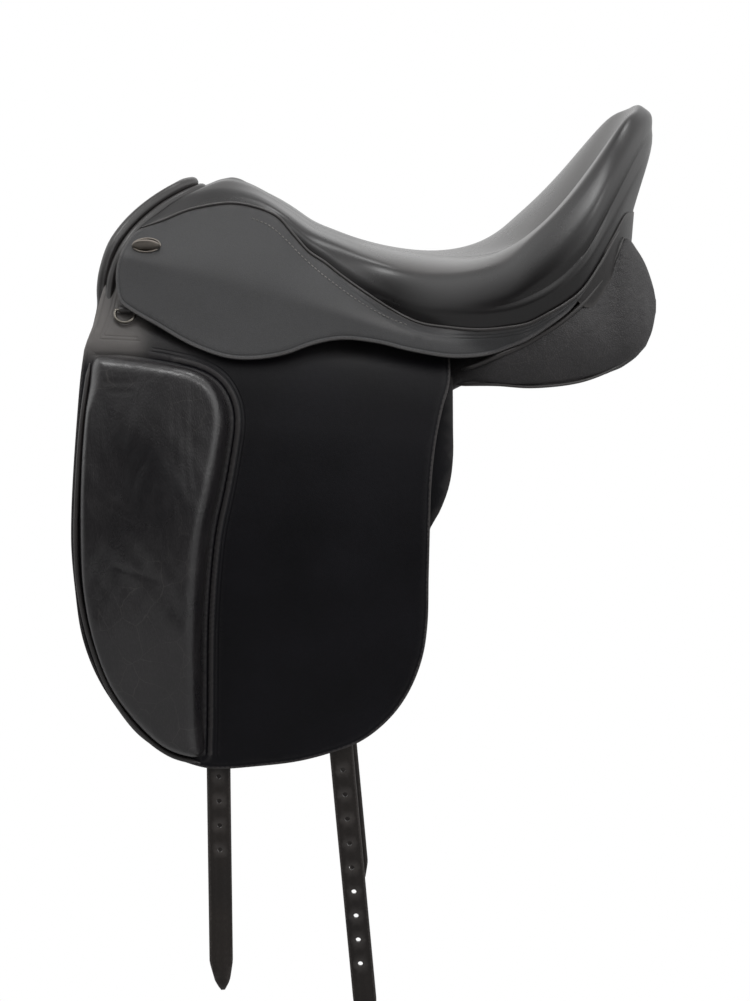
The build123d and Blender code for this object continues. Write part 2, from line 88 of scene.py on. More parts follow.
def table(pairs):
    """Smooth function through (x, y) pairs, without overshoot."""
    xs, ys = [np.array(v, float) for v in zip(*sorted(pairs))]
    d = np.diff(ys) / np.diff(xs)
    m = np.concatenate([[d[0]], (d[:-1] + d[1:]) / 2, [d[-1]]])
    for i in range(1, len(m) - 1):
        if d[i - 1] * d[i] <= 0:
            m[i] = 0
        else:
            lim = 3 * min(abs(d[i - 1]), abs(d[i]))
            m[i] = math.copysign(min(abs(m[i]), lim), m[i])

    def f(x):
        x = np.clip(np.asarray(x, float), xs[0], xs[-1])
        i = np.clip(np.searchsorted(xs, x) - 1, 0, len(d) - 1)
        h = xs[i + 1] - xs[i]
        t = (x - xs[i]) / h
        return ((2 * t ** 3 - 3 * t ** 2 + 1) * ys[i] + (t ** 3 - 2 * t ** 2 + t) * h * m[i]
                + (-2 * t ** 3 + 3 * t ** 2) * ys[i + 1] + (t ** 3 - t ** 2) * h * m[i + 1])
    return f


def smoothstep(x, a, b):
    t = np.clip((np.asarray(x, float) - a) / (b - a), 0, 1)
    return t * t * (3 - 2 * t)


# ------------------------------------------------------------------ meshes
def make(name, verts, faces, mat, flip=False):
    me = bpy.data.meshes.new(name)
    v = np.asarray(verts, float) / 1000.0
    me.from_pydata(v.tolist(), [], [tuple(f[::-1]) if flip else tuple(f) for f in faces])
    me.validate()
    o = bpy.data.objects.new(name, me)
    scene.collection.objects.link(o)
    me.polygons.foreach_set("use_smooth", [True] * len(me.polygons))
    me.materials.append(mat)
    return o


def mend(o, sharp=None, weld=False):
    """Turn the faces outwards, and keep the edges sharp that turn by more than an angle."""
    bm = bmesh.new()
    bm.from_mesh(o.data)
    if weld:
        bmesh.ops.remove_doubles(bm, verts=bm.verts, dist=1e-6)
    bmesh.ops.recalc_face_normals(bm, faces=bm.faces)
    for e in bm.edges if sharp else ():
        if len(e.link_faces) == 2 and e.calc_face_angle(0) > sharp:
            e.smooth = False
    bm.to_mesh(o.data)
    bm.free()
    return o


def rim_edges(faces):
    edges = {(a, b): 1 for f in faces for a, b in zip(f, f[1:] + f[:1])}
    return [(a, b) for a, b in edges if (b, a) not in edges]


def closed_body(name, outer, inner, faces, mat, sharp, weld=False):
    """Body between two like-numbered faces of points, with a wall round the rim."""
    k = len(outer)
    walls = [(b, a, a + k, b + k) for a, b in rim_edges(faces)]
    both_faces = [tuple(f) for f in faces] + [tuple(i + k for i in f[::-1]) for f in faces]
    return mend(make(name, np.vstack([outer, inner]), both_faces + walls, mat), sharp, weld)


def nearest(points):
    tree = kdtree.KDTree(len(points))
    for i, p in enumerate(points):
        tree.insert(p, i)
    tree.balance()
    return tree


def grid(P, close_u=False, close_v=False):
    nu, nv = P.shape[:2]
    faces = []
    for i in range(nu if close_u else nu - 1):
        for j in range(nv if close_v else nv - 1):
            a, b = i * nv + j, ((i + 1) % nu) * nv + j
            c, d = ((i + 1) % nu) * nv + (j + 1) % nv, i * nv + (j + 1) % nv
            faces.append((a, b, c, d))
    return faces


def plugged(P):
    """Faces of a tube of rings, with an end face at either end."""
    m, seg = P.shape[:2]
    return grid(P, close_v=True) + [tuple(range(seg))[::-1], tuple((m - 1) * seg + k for k in range(seg))]


def tube(name, path, radius, mat, seg=12, step=2.5):
    """Cord-covered roll along a path; radius is a function of the distance along, 0 to 1."""
    p = spline(path, step=step)
    n = len(p)
    t = np.gradient(p, axis=0)
    t /= np.linalg.norm(t, axis=1)[:, None]
    up = np.array([0, 0, 1.0])
    rings = []
    u = np.cross(t[0], up)
    if np.linalg.norm(u) < 1e-3:
        u = np.array([1.0, 0, 0])
    for i in range(n):
        u = u - t[i] * (u @ t[i])
        u /= np.linalg.norm(u)
        w = np.cross(t[i], u)
        ang = np.linspace(0, 2 * math.pi, seg, endpoint=False)
        rings.append(p[i] + radius(i / (n - 1)) * (np.cos(ang)[:, None] * u + np.sin(ang)[:, None] * w))
    caps = []
    for c, d, ring, r in ((p[0], -t[0], rings[0], radius(0)), (p[-1], t[-1], rings[-1], radius(1))):
        caps.append([c + (ring - c) * k + d * r * math.sqrt(max(1 - k * k, 0)) for k in (0.85, 0.55, 0.15)])
    P = np.array(caps[0][::-1] + rings + caps[1])
    return make(name, P.reshape(-1, 3), plugged(P), mat, flip=True)


def tapered(r, thin, run):
    """Radius r that narrows to a share of itself over a run at either end."""
    return lambda s: r * (thin + (1 - thin) * smoothstep(min(s, 1 - s), 0, run))


def inside(poly, q):
    x, y = q[:, 0], q[:, 1]
    a, b = poly, np.roll(poly, -1, axis=0)
    hit = np.zeros(len(q), bool)
    for (x0, y0), (x1, y1) in zip(a, b):
        if y0 == y1:
            continue
        hit ^= ((y0 > y) != (y1 > y)) & (x < (x1 - x0) * (y - y0) / (y1 - y0) + x0)
    return hit


def edge_distance(poly, q):
    d = np.full(len(q), 1e9)
    for a, b in zip(poly, np.roll(poly, -1, axis=0)):
        v = b - a
        L = max(v @ v, 1e-9)
        s = np.clip(((q - a) @ v) / L, 0, 1)
        d = np.minimum(d, np.linalg.norm(q - (a + s[:, None] * v), axis=1))
    return d


def flat_fill(outline, step, holes=(), extra=None):
    """Triangles filling an (x, z) outline, with rings round each hole and extra points inside."""
    poly = even(np.vstack([outline, outline[:1]]), step=step)[:-1]
    lo, hi = poly.min(0), poly.max(0)
    gx, gz = np.meshgrid(np.arange(lo[0], hi[0], step), np.arange(lo[1], hi[1], step * 0.866))
    gx[1::2] += step / 2
    q = np.stack([gx.ravel(), gz.ravel()], 1)
    q = q[inside(poly, q)]
    q = q[edge_distance(poly, q) > step * 0.55]
    if extra is not None and len(extra):
        tree = nearest([(ex, ez, 0) for ex, ez in extra])
        q = q[[tree.find((a, b, 0))[2] > step * 0.45 for a, b in q]]
        e = extra[inside(poly, extra)]
        e = e[edge_distance(poly, e) > 0.5]
        q = np.vstack([q, e])
    loops = [poly]
    for (hx, hz, r) in holes:
        ang = np.linspace(0, 2 * math.pi, 14, endpoint=False)
        loops.append(np.stack([hx + r * np.cos(ang), hz + r * np.sin(ang)], 1))
        q = q[np.hypot(q[:, 0] - hx, q[:, 1] - hz) > r + step * 0.4]
    pts, edges = [], []
    for lp in loops:
        s = len(pts)
        pts += [Vector(p) for p in lp.tolist()]
        edges += [(s + i, s + (i + 1) % len(lp)) for i in range(len(lp))]
    pts += [Vector(p) for p in q.tolist()]
    v, _, f, *_ = delaunay_2d_cdt(pts, edges, [], 0, 1e-5)
    v = np.array([tuple(p) for p in v])
    tri = [t for t in f if len(t) == 3]
    cen = np.array([v[list(t)].mean(0) for t in tri])
    ok = inside(poly, cen)
    for (hx, hz, r) in holes:
        ok &= np.hypot(cen[:, 0] - hx, cen[:, 1] - hz) > r * 0.97
    return v, [t for t, k in zip(tri, ok) if k], poly


def normals(surf, x, z, e=1.0):
    """Outward unit normals (towards -Y) of a surface y = surf(x, z)."""
    dx = (surf(x + e, z) - surf(x - e, z)) / (2 * e)
    dz = (surf(x, z + e) - surf(x, z - e)) / (2 * e)
    n = np.stack([dx, -np.ones_like(dx), dz], -1)
    return n / np.linalg.norm(n, axis=-1)[..., None]


def sheet(name, outline, surf, thick, mat, step=3.0, holes=(), lift=None, lines=(),
          row_offsets=(-1.1, 0, 1.1)):
    """Leather sheet over an (x, z) outline: outer face on surf, rounded cut edges, thickness inwards."""
    outline = np.asarray(outline, float)
    extra = [r for ln in lines for r in rows(ln, row_offsets, 2.2, closed=False)]
    edge_rows = rows(outline, (-1.0, 1.0), step)
    v, tri, poly = flat_fill(outline, step, holes, np.vstack(extra + edge_rows))
    x, z = v[:, 0], v[:, 1]
    n = normals(surf, x, z)
    out = np.stack([x, surf(x, z), z], 1)
    d = edge_distance(poly, v)
    for hx, hz, r in holes:
        d = np.minimum(d, np.abs(np.hypot(x - hx, z - hz) - r))
    if lift is not None:
        out = out + n * lift(x, z)[:, None]
    edge = 0.45 * np.clip(1 - d / (0.6 * step), 0, 1) ** 2
    outer = out - n * edge[:, None]
    inner = out - n * (thick - edge)[:, None]
    return closed_body(name, outer, inner, tri, mat, 1.0)


def twin(o, name):
    """Mirror image for the off side."""
    c = o.copy()
    c.data = o.data.copy()
    c.name = name
    c.data.name = name
    scene.collection.objects.link(c)
    n = len(c.data.vertices)
    co = np.empty(n * 3)
    c.data.vertices.foreach_get("co", co)
    co = co.reshape(-1, 3)
    co[:, 1] *= -1
    c.data.vertices.foreach_set("co", co.ravel())
    c.data.flip_normals()
    c.data.update()
    return c


SIDES = (("left", 1), ("right", -1))


def on_side(near, k):
    """The near-side piece itself, or its mirror image for the off side."""
    return near if k == 1 else twin(near, near.name.replace("left_", "right_"))


def read(o):
    n = len(o.data.vertices)
    co = np.empty(n * 3)
    o.data.vertices.foreach_get("co", co)
    no = np.empty(n * 3)
    o.data.vertices.foreach_get("normal", no)
    return co.reshape(-1, 3) * 1000, no.reshape(-1, 3)


def write(o, co):
    o.data.vertices.foreach_set("co", (co / 1000).ravel())
    o.data.update()


def sheen_and_wear(o, value):
    """Store at each vertex, from 0 to 1, how much painted sheen and highlight the leather takes, with some rubbed wear
    on the seat.
    """
    co, _ = read(o)
    a = o.data.attributes.new("sheen_and_wear", "FLOAT", "POINT")
    a.data.foreach_set("value", np.clip(value(co), 0, 1).astype(float))


def settle(o, body, slot, *nodes):
    """Ride on a body and stand for its CAD nodes; the slot argument is not used."""
    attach(o, body)
    if nodes:
        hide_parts(*nodes)


def noise3(p, scale, seed=0):
    """Smooth repeatable noise, -1 to 1, from a few rotated sine waves."""
    r = np.random.default_rng(seed)
    out = np.zeros(len(p))
    for _ in range(9):
        k = r.normal(size=3)
        k *= r.uniform(0.6, 1.6) / np.linalg.norm(k)
        out += np.sin(p @ k * (2 * math.pi / scale) + r.uniform(0, 6.28))
    return out / 4.5


# ------------------------------------------------------------------ materials
def node_tree(name):
    m = bpy.data.materials.new(name)
    m.use_nodes = True
    nt = m.node_tree
    nt.nodes.clear()
    out = nt.nodes.new("ShaderNodeOutputMaterial")
    b = nt.nodes.new("ShaderNodeBsdfPrincipled")
    nt.links.new(b.outputs[0], out.inputs[0])
    return m, nt, b


def fill(nt, node, values):
    """Give a node's inputs a socket to follow or a constant."""
    for k, v in values.items():
        if isinstance(v, bpy.types.NodeSocket):
            nt.links.new(v, node.inputs[k])
        else:
            node.inputs[k].default_value = v


def add(nt, kind, values, **kw):
    n = nt.nodes.new(kind)
    for k, v in kw.items():
        setattr(n, k, v)
    fill(nt, n, values)
    return n


def ramp(nt, src, *stops):
    r = add(nt, "ShaderNodeValToRGB", {0: src})
    for e, (pos, c) in zip(r.color_ramp.elements, stops):
        e.position = pos
        e.color = (*c, 1)
    return r.outputs[0]


def noise(nt, at, scale, detail, distortion=0.0):
    return add(nt, "ShaderNodeTexNoise", {"Vector": at, "Scale": scale, "Detail": detail, "Distortion": distortion})


def cells(nt, at, scale):
    """Distance to the edge of the nearest cell."""
    v = add(nt, "ShaderNodeTexVoronoi", {"Vector": at, "Scale": scale}, feature="DISTANCE_TO_EDGE")
    return v.outputs["Distance"]


def mixed(nt, fac, a, b, blend="MIX"):
    return add(nt, "ShaderNodeMixRGB", {0: fac, 1: a, 2: b}, blend_type=blend).outputs[0]


def times(nt, a, b):
    return add(nt, "ShaderNodeMath", {0: a, 1: b}, operation="MULTIPLY").outputs[0]


def bump(nt, height, strength, distance, below=None):
    values = {"Height": height, "Strength": strength, "Distance": distance}
    if below is not None:
        values["Normal"] = below
    return add(nt, "ShaderNodeBump", values).outputs[0]


def grey(v):
    return (v, v, v)


BLACK, WHITE = grey(0), grey(1)
CRAZED_TONE = (0.085, 0.078, 0.075, 1)
WORN_TONE = (0.15, 0.14, 0.135, 1)


def leather(name, dark, light, rough, grain, depth, wrinkle=0.0, spec=0.5, coat=0.0, wear=0.0,
            stretch=(1, 1, 1), sheen_and_wear_tones=None, crazing=0.0):
    """Dyed leather: pebble grain, pores, cloudy dye, edge wear, and a greyer tone where the mesh's attribute asks for
    it, which is painted sheen and highlight with some rubbed wear.
    """
    m, nt, b = node_tree(name)
    at = add(nt, "ShaderNodeTexCoord", {}).outputs["Object"]
    drawn = add(nt, "ShaderNodeMapping", {0: at, "Scale": stretch}).outputs[0]
    cloud = noise(nt, at, 16, 5).outputs
    warp = noise(nt, drawn, grain * 0.5, 2)
    pebble = ramp(nt, cells(nt, mixed(nt, 0.0012, drawn, warp.outputs["Color"], "ADD"), grain),
                  (0.0, BLACK), (0.28, WHITE))
    fine = noise(nt, drawn, grain * 0.28, 6)
    tone = mixed(nt, 0.35, ramp(nt, cloud["Fac"], (0.3, dark), (0.72, light)), pebble, "MULTIPLY")
    # Painted sheen and highlight, with some rubbed wear: a lighter tone mixed in where the mesh's attribute asks for
    # it.
    if sheen_and_wear_tones:
        where = add(nt, "ShaderNodeAttribute", {}, attribute_name="sheen_and_wear")
        tone = mixed(nt, where.outputs["Fac"], tone, ramp(nt, cloud["Fac"], (0.3, sheen_and_wear_tones[0]), (0.72, sheen_and_wear_tones[1])))
    if crazing:
        bent = mixed(nt, 0.03, at, cloud["Color"], "ADD")
        hair = ramp(nt, cells(nt, bent, 42), (0.0, WHITE), (0.018, BLACK))
        patch = ramp(nt, cloud["Fac"], (0.42, BLACK), (0.62, grey(crazing)))
        tone = mixed(nt, times(nt, hair, patch), tone, CRAZED_TONE)
    if wear:
        edge = add(nt, "ShaderNodeNewGeometry", {}).outputs["Pointiness"]
        worn = times(nt, ramp(nt, edge, (0.505, BLACK), (0.56, WHITE)), wear)
        tone = mixed(nt, worn, tone, WORN_TONE, "ADD")
    relief = bump(nt, pebble, depth, 0.00025)
    relief = bump(nt, fine.outputs["Fac"], depth * 0.8, 0.0006, relief)
    if wrinkle:
        relief = bump(nt, noise(nt, drawn, 70, 3, 1.5).outputs["Fac"], wrinkle, 0.0025, relief)
    fill(nt, b, {"Base Color": tone, "Normal": relief, "Specular IOR Level": spec, "Coat Weight": coat,
                 "Coat Roughness": 0.14,
                 "Roughness": ramp(nt, cloud["Fac"], (0.25, grey(rough[0])), (0.75, grey(rough[1])))})
    return m


def metal(name, color, rough=0.2, scratch=0.3):
    m, nt, b = node_tree(name)
    n = noise(nt, add(nt, "ShaderNodeTexCoord", {}).outputs["Object"], 120, 6).outputs["Fac"]
    fill(nt, b, {"Base Color": ramp(nt, n, (0.3, tuple(c * 0.75 for c in color)), (0.7, color)),
                 "Roughness": ramp(nt, n, (0.3, grey(rough)), (0.8, grey(rough + scratch * 0.5))),
                 "Metallic": 1.0, "Normal": bump(nt, n, scratch, 0.0001)})
    return m


def banded(name, a, c, scale, rough=0.6, direction=(1, 0.1, 0.1), weave=False):
    """Wood grain or woven webbing: bands in two tones."""
    m, nt, b = node_tree(name)
    at = add(nt, "ShaderNodeTexCoord", {}).outputs["Object"]
    drawn = add(nt, "ShaderNodeMapping", {0: at, "Scale": direction}).outputs[0]
    if weave:
        fac = add(nt, "ShaderNodeTexChecker", {"Vector": drawn, "Scale": scale}).outputs["Fac"]
    else:
        fac = noise(nt, drawn, scale, 7, 0.6).outputs["Fac"]
    fill(nt, b, {"Base Color": ramp(nt, fac, (0.3, a), (0.7, c)), "Roughness": rough,
                 "Normal": bump(nt, fac, 0.3, 0.0004)})
    return m


M = {
    # The seat's second tones are painted sheen on the dish, partly rubbed wear.
    "seat": leather("seat_leather", (0.008, 0.007, 0.0075), (0.016, 0.014, 0.0145), rough=(0.24, 0.34), grain=1100,
                    depth=0.10, spec=0.7, coat=0.3, sheen_and_wear_tones=((0.072, 0.068, 0.067), (0.120, 0.114, 0.111))),
    "trim": leather("trim_leather", (0.012, 0.011, 0.011), (0.028, 0.024, 0.024), rough=(0.28, 0.40),
                    grain=1000, depth=0.14, spec=0.7, coat=0.25, wear=0.25),
    # The skirt's tone is many times lighter than the flap's, set to match how bright each looked: painted light on the
    # upturned skirt, painted shade on the upright flaps.
    "skirt": leather("skirt_leather", (0.034, 0.034, 0.036), (0.056, 0.056, 0.059), rough=(0.54, 0.64),
                     grain=950, depth=0.16, spec=0.75, wear=0.3),
    # The flap's second tones are a painted highlight on its top front.
    "flap": leather("flap_leather", (0.0016, 0.0013, 0.0032), (0.0040, 0.0034, 0.0070), rough=(0.38, 0.50),
                    grain=950, depth=0.16, spec=0.30, wear=0.4, sheen_and_wear_tones=((0.10, 0.094, 0.090), (0.16, 0.150, 0.144))),
    "block": leather("block_leather", (0.010, 0.0088, 0.0108), (0.026, 0.023, 0.025), rough=(0.24, 0.34),
                     grain=620, depth=0.22, wrinkle=0.22, spec=0.85, coat=0.4, stretch=(1, 1, 0.3), crazing=0.4),
    "panel": leather("panel_leather", (0.034, 0.032, 0.034), (0.062, 0.058, 0.060), rough=(0.34, 0.48),
                     grain=520, depth=0.45, wrinkle=0.3, spec=0.6, crazing=0.5),
    "strap": leather("strap_leather", (0.016, 0.012, 0.011), (0.032, 0.025, 0.021), rough=(0.32, 0.45),
                     grain=1000, depth=0.15, wear=0.3),
    "thread": leather("stitch_thread", (0.24, 0.23, 0.22), (0.42, 0.40, 0.38), rough=(0.6, 0.7), grain=2500,
                      depth=0.2),
    "nickel": metal("nickel_silver", (0.22, 0.205, 0.18), rough=0.3, scratch=0.2),
    "steel": metal("forged_steel", (0.55, 0.55, 0.56), rough=0.28, scratch=0.25),
    "spring": metal("tree_steel", (0.30, 0.30, 0.32), rough=0.4, scratch=0.4),
    "wood": banded("laminated_beech", (0.30, 0.17, 0.08), (0.52, 0.34, 0.18), 40, direction=(0.15, 1, 2.5)),
    "webbing": banded("linen_webbing", (0.42, 0.37, 0.28), (0.62, 0.56, 0.45), 700, rough=0.9,
                      direction=(1, 1, 1), weave=True),
}

# ------------------------------------------------------------------ shared shapes, as in the frame
FLAP_FACE = table([(62, 90), (45, 104), (34, 113), (18, 126), (0, 138), (-50, 157), (-100, 169.5),
                   (-150, 178.5), (-250, 188), (-350, 193), (-450, 194), (-640, 194)])


FOLD_X, FOLD_SLOPE, FLARE = 132, 0.09, 0.04     # the fold line of all side layers, and how they flare rearwards


def flap_surf(x, z):
    run = np.asarray(x, float) + FOLD_X
    return -(FLAP_FACE(z + FOLD_SLOPE * run) + FLARE * run)


def inner_surf(inside):
    def f(x, z):
        n = normals(flap_surf, np.asarray(x, float), np.asarray(z, float))
        k = inside / np.maximum(-n[..., 1], 0.5)
        return flap_surf(x, z) + k
    return f


def rows(outline, offsets, step, closed=True):
    """Rows of points beside a line, so that edges and tooled lines have mesh to bend."""
    p = np.asarray(outline, float)
    p = even(np.vstack([p, p[:1]]) if closed else p, step=step)
    if closed:
        p = p[:-1]
        t = np.roll(p, -1, 0) - np.roll(p, 1, 0)
    else:
        t = np.gradient(p, axis=0)
    t /= np.linalg.norm(t, axis=1)[:, None]
    n = np.stack([-t[:, 1], t[:, 0]], 1)
    return [p + n * d for d in offsets]


def line_distance(x, z, line):
    q = np.stack([x, z], 1)
    d = np.full(len(q), 1e9)
    for a, b in zip(line[:-1], line[1:]):
        v = b - a
        s = np.clip(((q - a) @ v) / max(v @ v, 1e-9), 0, 1)
        d = np.minimum(d, np.linalg.norm(q - (a + s[:, None] * v), axis=1))
    return d


def stitches(name, path, normal_at, mat, length=3.2, gap=1.1, r=0.42):
    """Row of thread stitches lying on a surface along a 3-D path."""
    p = spline(path, step=length + gap)
    verts, faces = [], []
    seg = 6
    for a, b in zip(p[:-1], p[1:]):
        d = b - a
        L = np.linalg.norm(d)
        d = d / L
        n = np.asarray(normal_at((a + b) / 2))
        w = np.cross(d, n)
        base = len(verts)
        prof = [(0.0, 0.25, -0.35), (0.15, 0.9, 0.05), (0.5, 1.0, 0.25), (0.85, 0.9, 0.05), (1.0, 0.25, -0.35)]
        for s, k, lift in prof:
            c = a + d * length * s + n * lift * r
            for j in range(seg):
                an = 2 * math.pi * j / seg
                verts.append(c + r * k * (math.cos(an) * w + math.sin(an) * n))
        for i in range(len(prof) - 1):
            for j in range(seg):
                j2 = (j + 1) % seg
                faces.append((base + i * seg + j, base + i * seg + j2,
                              base + (i + 1) * seg + j2, base + (i + 1) * seg + j))
        faces.append(tuple(base + j for j in range(seg))[::-1])
        faces.append(tuple(base + (len(prof) - 1) * seg + j for j in range(seg)))
    return make(name, verts, faces, mat)


SHARP = 1.1             # radians past which an edge is drawn sharp


def shell(name, P, N, mask, thick, mat):
    """Closed leather piece from a masked grid of points: outer face, inner face, and walls round the rim."""
    nu, nv = P.shape[:2]
    used = np.zeros((nu, nv), bool)
    quads = []
    for i in range(nu - 1):
        for j in range(nv - 1):
            if mask[i, j]:
                quads.append((i * nv + j, (i + 1) * nv + j, (i + 1) * nv + j + 1, i * nv + j + 1))
                used[i:i + 2, j:j + 2] = True
    index = -np.ones(nu * nv, int)
    index[used.ravel()] = np.arange(used.sum())
    quads = [[int(index[k]) for k in q] for q in quads]
    O = P.reshape(-1, 3)[used.ravel()]
    n = N.reshape(-1, 3)[used.ravel()]
    rim = rim_edges(quads)
    tree = nearest([(O[a] + O[b]) / 2 for a, b in rim])
    d = np.array([tree.find(o)[2] for o in O])
    for a, b in rim:
        d[a] = d[b] = 0
    t = thick(d) if callable(thick) else np.full(len(O), float(thick))
    return closed_body(name, O, O - n * t[:, None], quads, mat, SHARP, weld=True)


def lining(name, P, at, sign, thick, mat):
    """Shell over a whole grid; at is (row, column, axis) of a normal that must have this sign."""
    n = grid_normals(P)
    if n[at] * sign < 0:
        n = -n
    return shell(name, P, n, np.ones(P.shape[:2], bool), thick, mat)


INSETS = (0.7, 1.8, 3.2, 5, 7.5, 10.5)


def height_pad(name, outline, surf, height, mat, step, sink):
    """Stuffed pad on a face: closed body whose outer side stands height(x, z, d) from surf."""
    poly = even(np.vstack([outline, outline[:1]]), step=step)[:-1]
    area = 0.5 * np.sum(poly[:, 0] * np.roll(poly[:, 1], -1) - np.roll(poly[:, 0], -1) * poly[:, 1])
    sign = 1 if area > 0 else -1
    extra = [r[inside(poly, r)] for r in rows(outline, [sign * k for k in INSETS], step)]
    v, tri, poly = flat_fill(outline, step, extra=np.vstack(extra))
    x, z = v[:, 0], v[:, 1]
    d = edge_distance(poly, v)
    n = normals(surf, x, z)
    base = np.stack([x, surf(x, z), z], 1)
    outer = base + n * height(x, z, d)[:, None]
    return closed_body(name, outer, base + n * sink, tri, mat, SHARP)


# ------------------------------------------------------------------ seat
# Ribs from the seam (S) over the side (B), the rim (R) and the seat (I, J) to the middle (C).
RIBS = [
    [(-223, 76, 106), (-214, 64, 114), (-202, 52, 122), (-182, 33, 132), (-160, 0, 140)],
    [(-207, 70, 111), (-203, 60, 119), (-194, 48, 128), (-172, 28, 138), (-152, 0, 145.5)],
    [(-184, 65, 120), (-183, 55, 127), (-177, 44, 133.5), (-160, 24, 142), (-142, 0, 143.5)],
    [(-163, 62.5, 124.5), (-162, 54, 131), (-160, 42, 137), (-150, 22, 142.5), (-138, 0, 141.5)],
    [(-145, 62, 126), (-144, 54, 131.5), (-143, 42, 136), (-136, 22, 139), (-128, 0, 136)],
    [(-126, 65, 123), (-126, 58, 128), (-125, 46, 131.5), (-122, 24, 132), (-116, 0, 129)],
    [(-106, 73, 115), (-106, 67, 119.5), (-106, 56, 121.5), (-105, 30, 122), (-102, 0, 120)],
    [(-92, 80, 100), (-92, 76, 107), (-92, 65, 111.5), (-91, 34, 112.5), (-88, 0, 110.5)],
    [(-79, 86, 86), (-79, 82.5, 94), (-79, 70, 101), (-79, 36, 104), (-77, 0, 103)],
    [(-65, 91.5, 77), (-65, 88, 86), (-65, 75, 94.5), (-65, 40, 98), (-64, 0, 97.5)],
    [(-52, 95.5, 67), (-52, 92, 77), (-52, 79, 88.5), (-52, 42, 93), (-52, 0, 93)],
    [(-32, 99.5, 53), (-32, 96.5, 64), (-32, 84, 79.5), (-32, 45, 86), (-33, 0, 86.5)],
    [(-8, 104.5, 38), (-8, 103, 51), (-8, 92, 71), (-9, 52, 79.5), (-12, 0, 81)],
    [(15, 118, 28), (15, 118, 42), (15, 105, 65.5), (12, 66, 76), (9, 33, 78.5), (7, 0, 79)],
    [(40, 134, 25.5), (40, 135, 41), (40, 119, 66), (34, 74, 73.5), (29, 37, 75), (25, 0, 75.5)],
    [(66, 148, 25), (67, 150, 42), (67, 133, 71), (56, 82, 74), (48, 41, 73.5), (40, 0, 73)],
    [(89, 154, 27.5), (91, 157.5, 47), (91, 139, 80), (76, 88, 78), (65, 44, 74), (54, 0, 72)],
    [(106, 156, 31), (109, 160, 55), (107, 138, 97), (91, 90, 86), (79, 45, 76.5), (66, 0, 72)],
    [(122, 156, 39), (127, 160, 65), (124, 136, 112), (105, 90, 95), (92, 45, 80), (76, 0, 72.5)],
    [(138, 152.5, 48), (144, 156, 79), (141, 129, 130), (120, 86, 105), (105, 44, 85), (86, 0, 73.5)],
    [(151, 147.5, 58), (160, 149, 97), (157, 118, 149), (133, 80, 119), (117, 42, 91), (95, 0, 75)],
    [(166, 136, 78), (175, 133, 122), (172, 103, 169), (146, 71, 135), (128, 39, 97), (101, 0, 76.5)],
    [(178, 122, 97), (190, 112, 146), (185, 83, 187), (160, 58, 150), (137, 33, 102), (107, 0, 78)],
    [(189, 102, 113), (204, 85, 167), (196, 62, 199.5), (169.5, 44, 162.5), (144, 26, 106), (110, 0, 79)],
    [(198, 72, 114), (215, 53, 181), (206, 39, 203.8), (181, 28, 169), (150, 16, 107), (113, 0, 79.5)],
    [(203, 35, 112), (222, 23, 187.5), (210, 15, 207.8), (186, 12, 176), (154, 6, 108), (114, 0, 80)],
    [(204, 0, 111), (223.5, 0, 188), (211, 0, 208.3), (188, 0, 178), (155, 0, 108), (115, 0, 80)]]
SEAM = [rib[0] for rib in RIBS[:24]]
seam_a = table([(x, a) for x, a, z in SEAM])
seam_z = table([(x, z) for x, a, z in SEAM])
PER = [10, 12, 12, 8, 8]  # points across each stretch of a rib
PER_RIB = 6             # rows from one rib to the next
CREASE_START = 15.6     # rib at which the cantle's crease begins


def rib_curve(pts, counts, first, last):
    q = np.vstack([first, pts, last])
    return np.array(chain(q, counts) + [q[-2]])


def seat_grid():
    ctrl = []
    for rib in RIBS:
        r = [np.array(p, float) * (1, -1, 1) for p in rib]
        if len(r) == 5:
            r.insert(4, (r[3] + r[4]) / 2 + np.array([0, 0, 0.8]))
        ctrl.append(r)
    ctrl = np.array(ctrl)
    fine = []
    n = len(ctrl)
    for c in range(6):
        col = ctrl[:, c]
        last = ctrl[-2, c] * (1, -1, 1)
        fine.append(rib_curve(col, [PER_RIB] * (n - 1), 2 * col[0] - col[1], last))
    fine = np.array(fine).transpose(1, 0, 2)
    half = []
    for r in fine:
        first = r[0] + (r[0] - r[1]) * 0.6 + np.array([0, 2.0, 0])
        last = r[4] * (1, -1, 1) if abs(r[4][1]) > 3 else 2 * r[5] - r[4] + np.array([0, 0, 14.0])
        half.append(rib_curve(r, PER, first, last))
    return np.array(half)


def grid_normals(P):
    du = np.gradient(P, axis=0)
    dv = np.gradient(P, axis=1)
    n = np.cross(du, dv)
    n /= np.maximum(np.linalg.norm(n, axis=2), 1e-9)[..., None]
    return n


half = seat_grid()
NU, NV = half.shape[:2]
mirror = (half * (1, -1, 1))[:-1][::-1]
full_P = np.vstack([half, mirror])
crease_row = int(CREASE_START * PER_RIB)
facing = np.zeros(full_P.shape[:2], bool)
facing[crease_row:len(full_P) - 1 - crease_row, :PER[0]] = True
u = np.arange(len(full_P))
kk = np.minimum(u, len(full_P) - 1 - u) / PER_RIB
# The crease pinches in gradually from its front end.
pinch = 3.0 * smoothstep(kk, CREASE_START - 1.5, CREASE_START + 2.5) * (1 - 0.7 * smoothstep(kk, 22.5, 24.5))


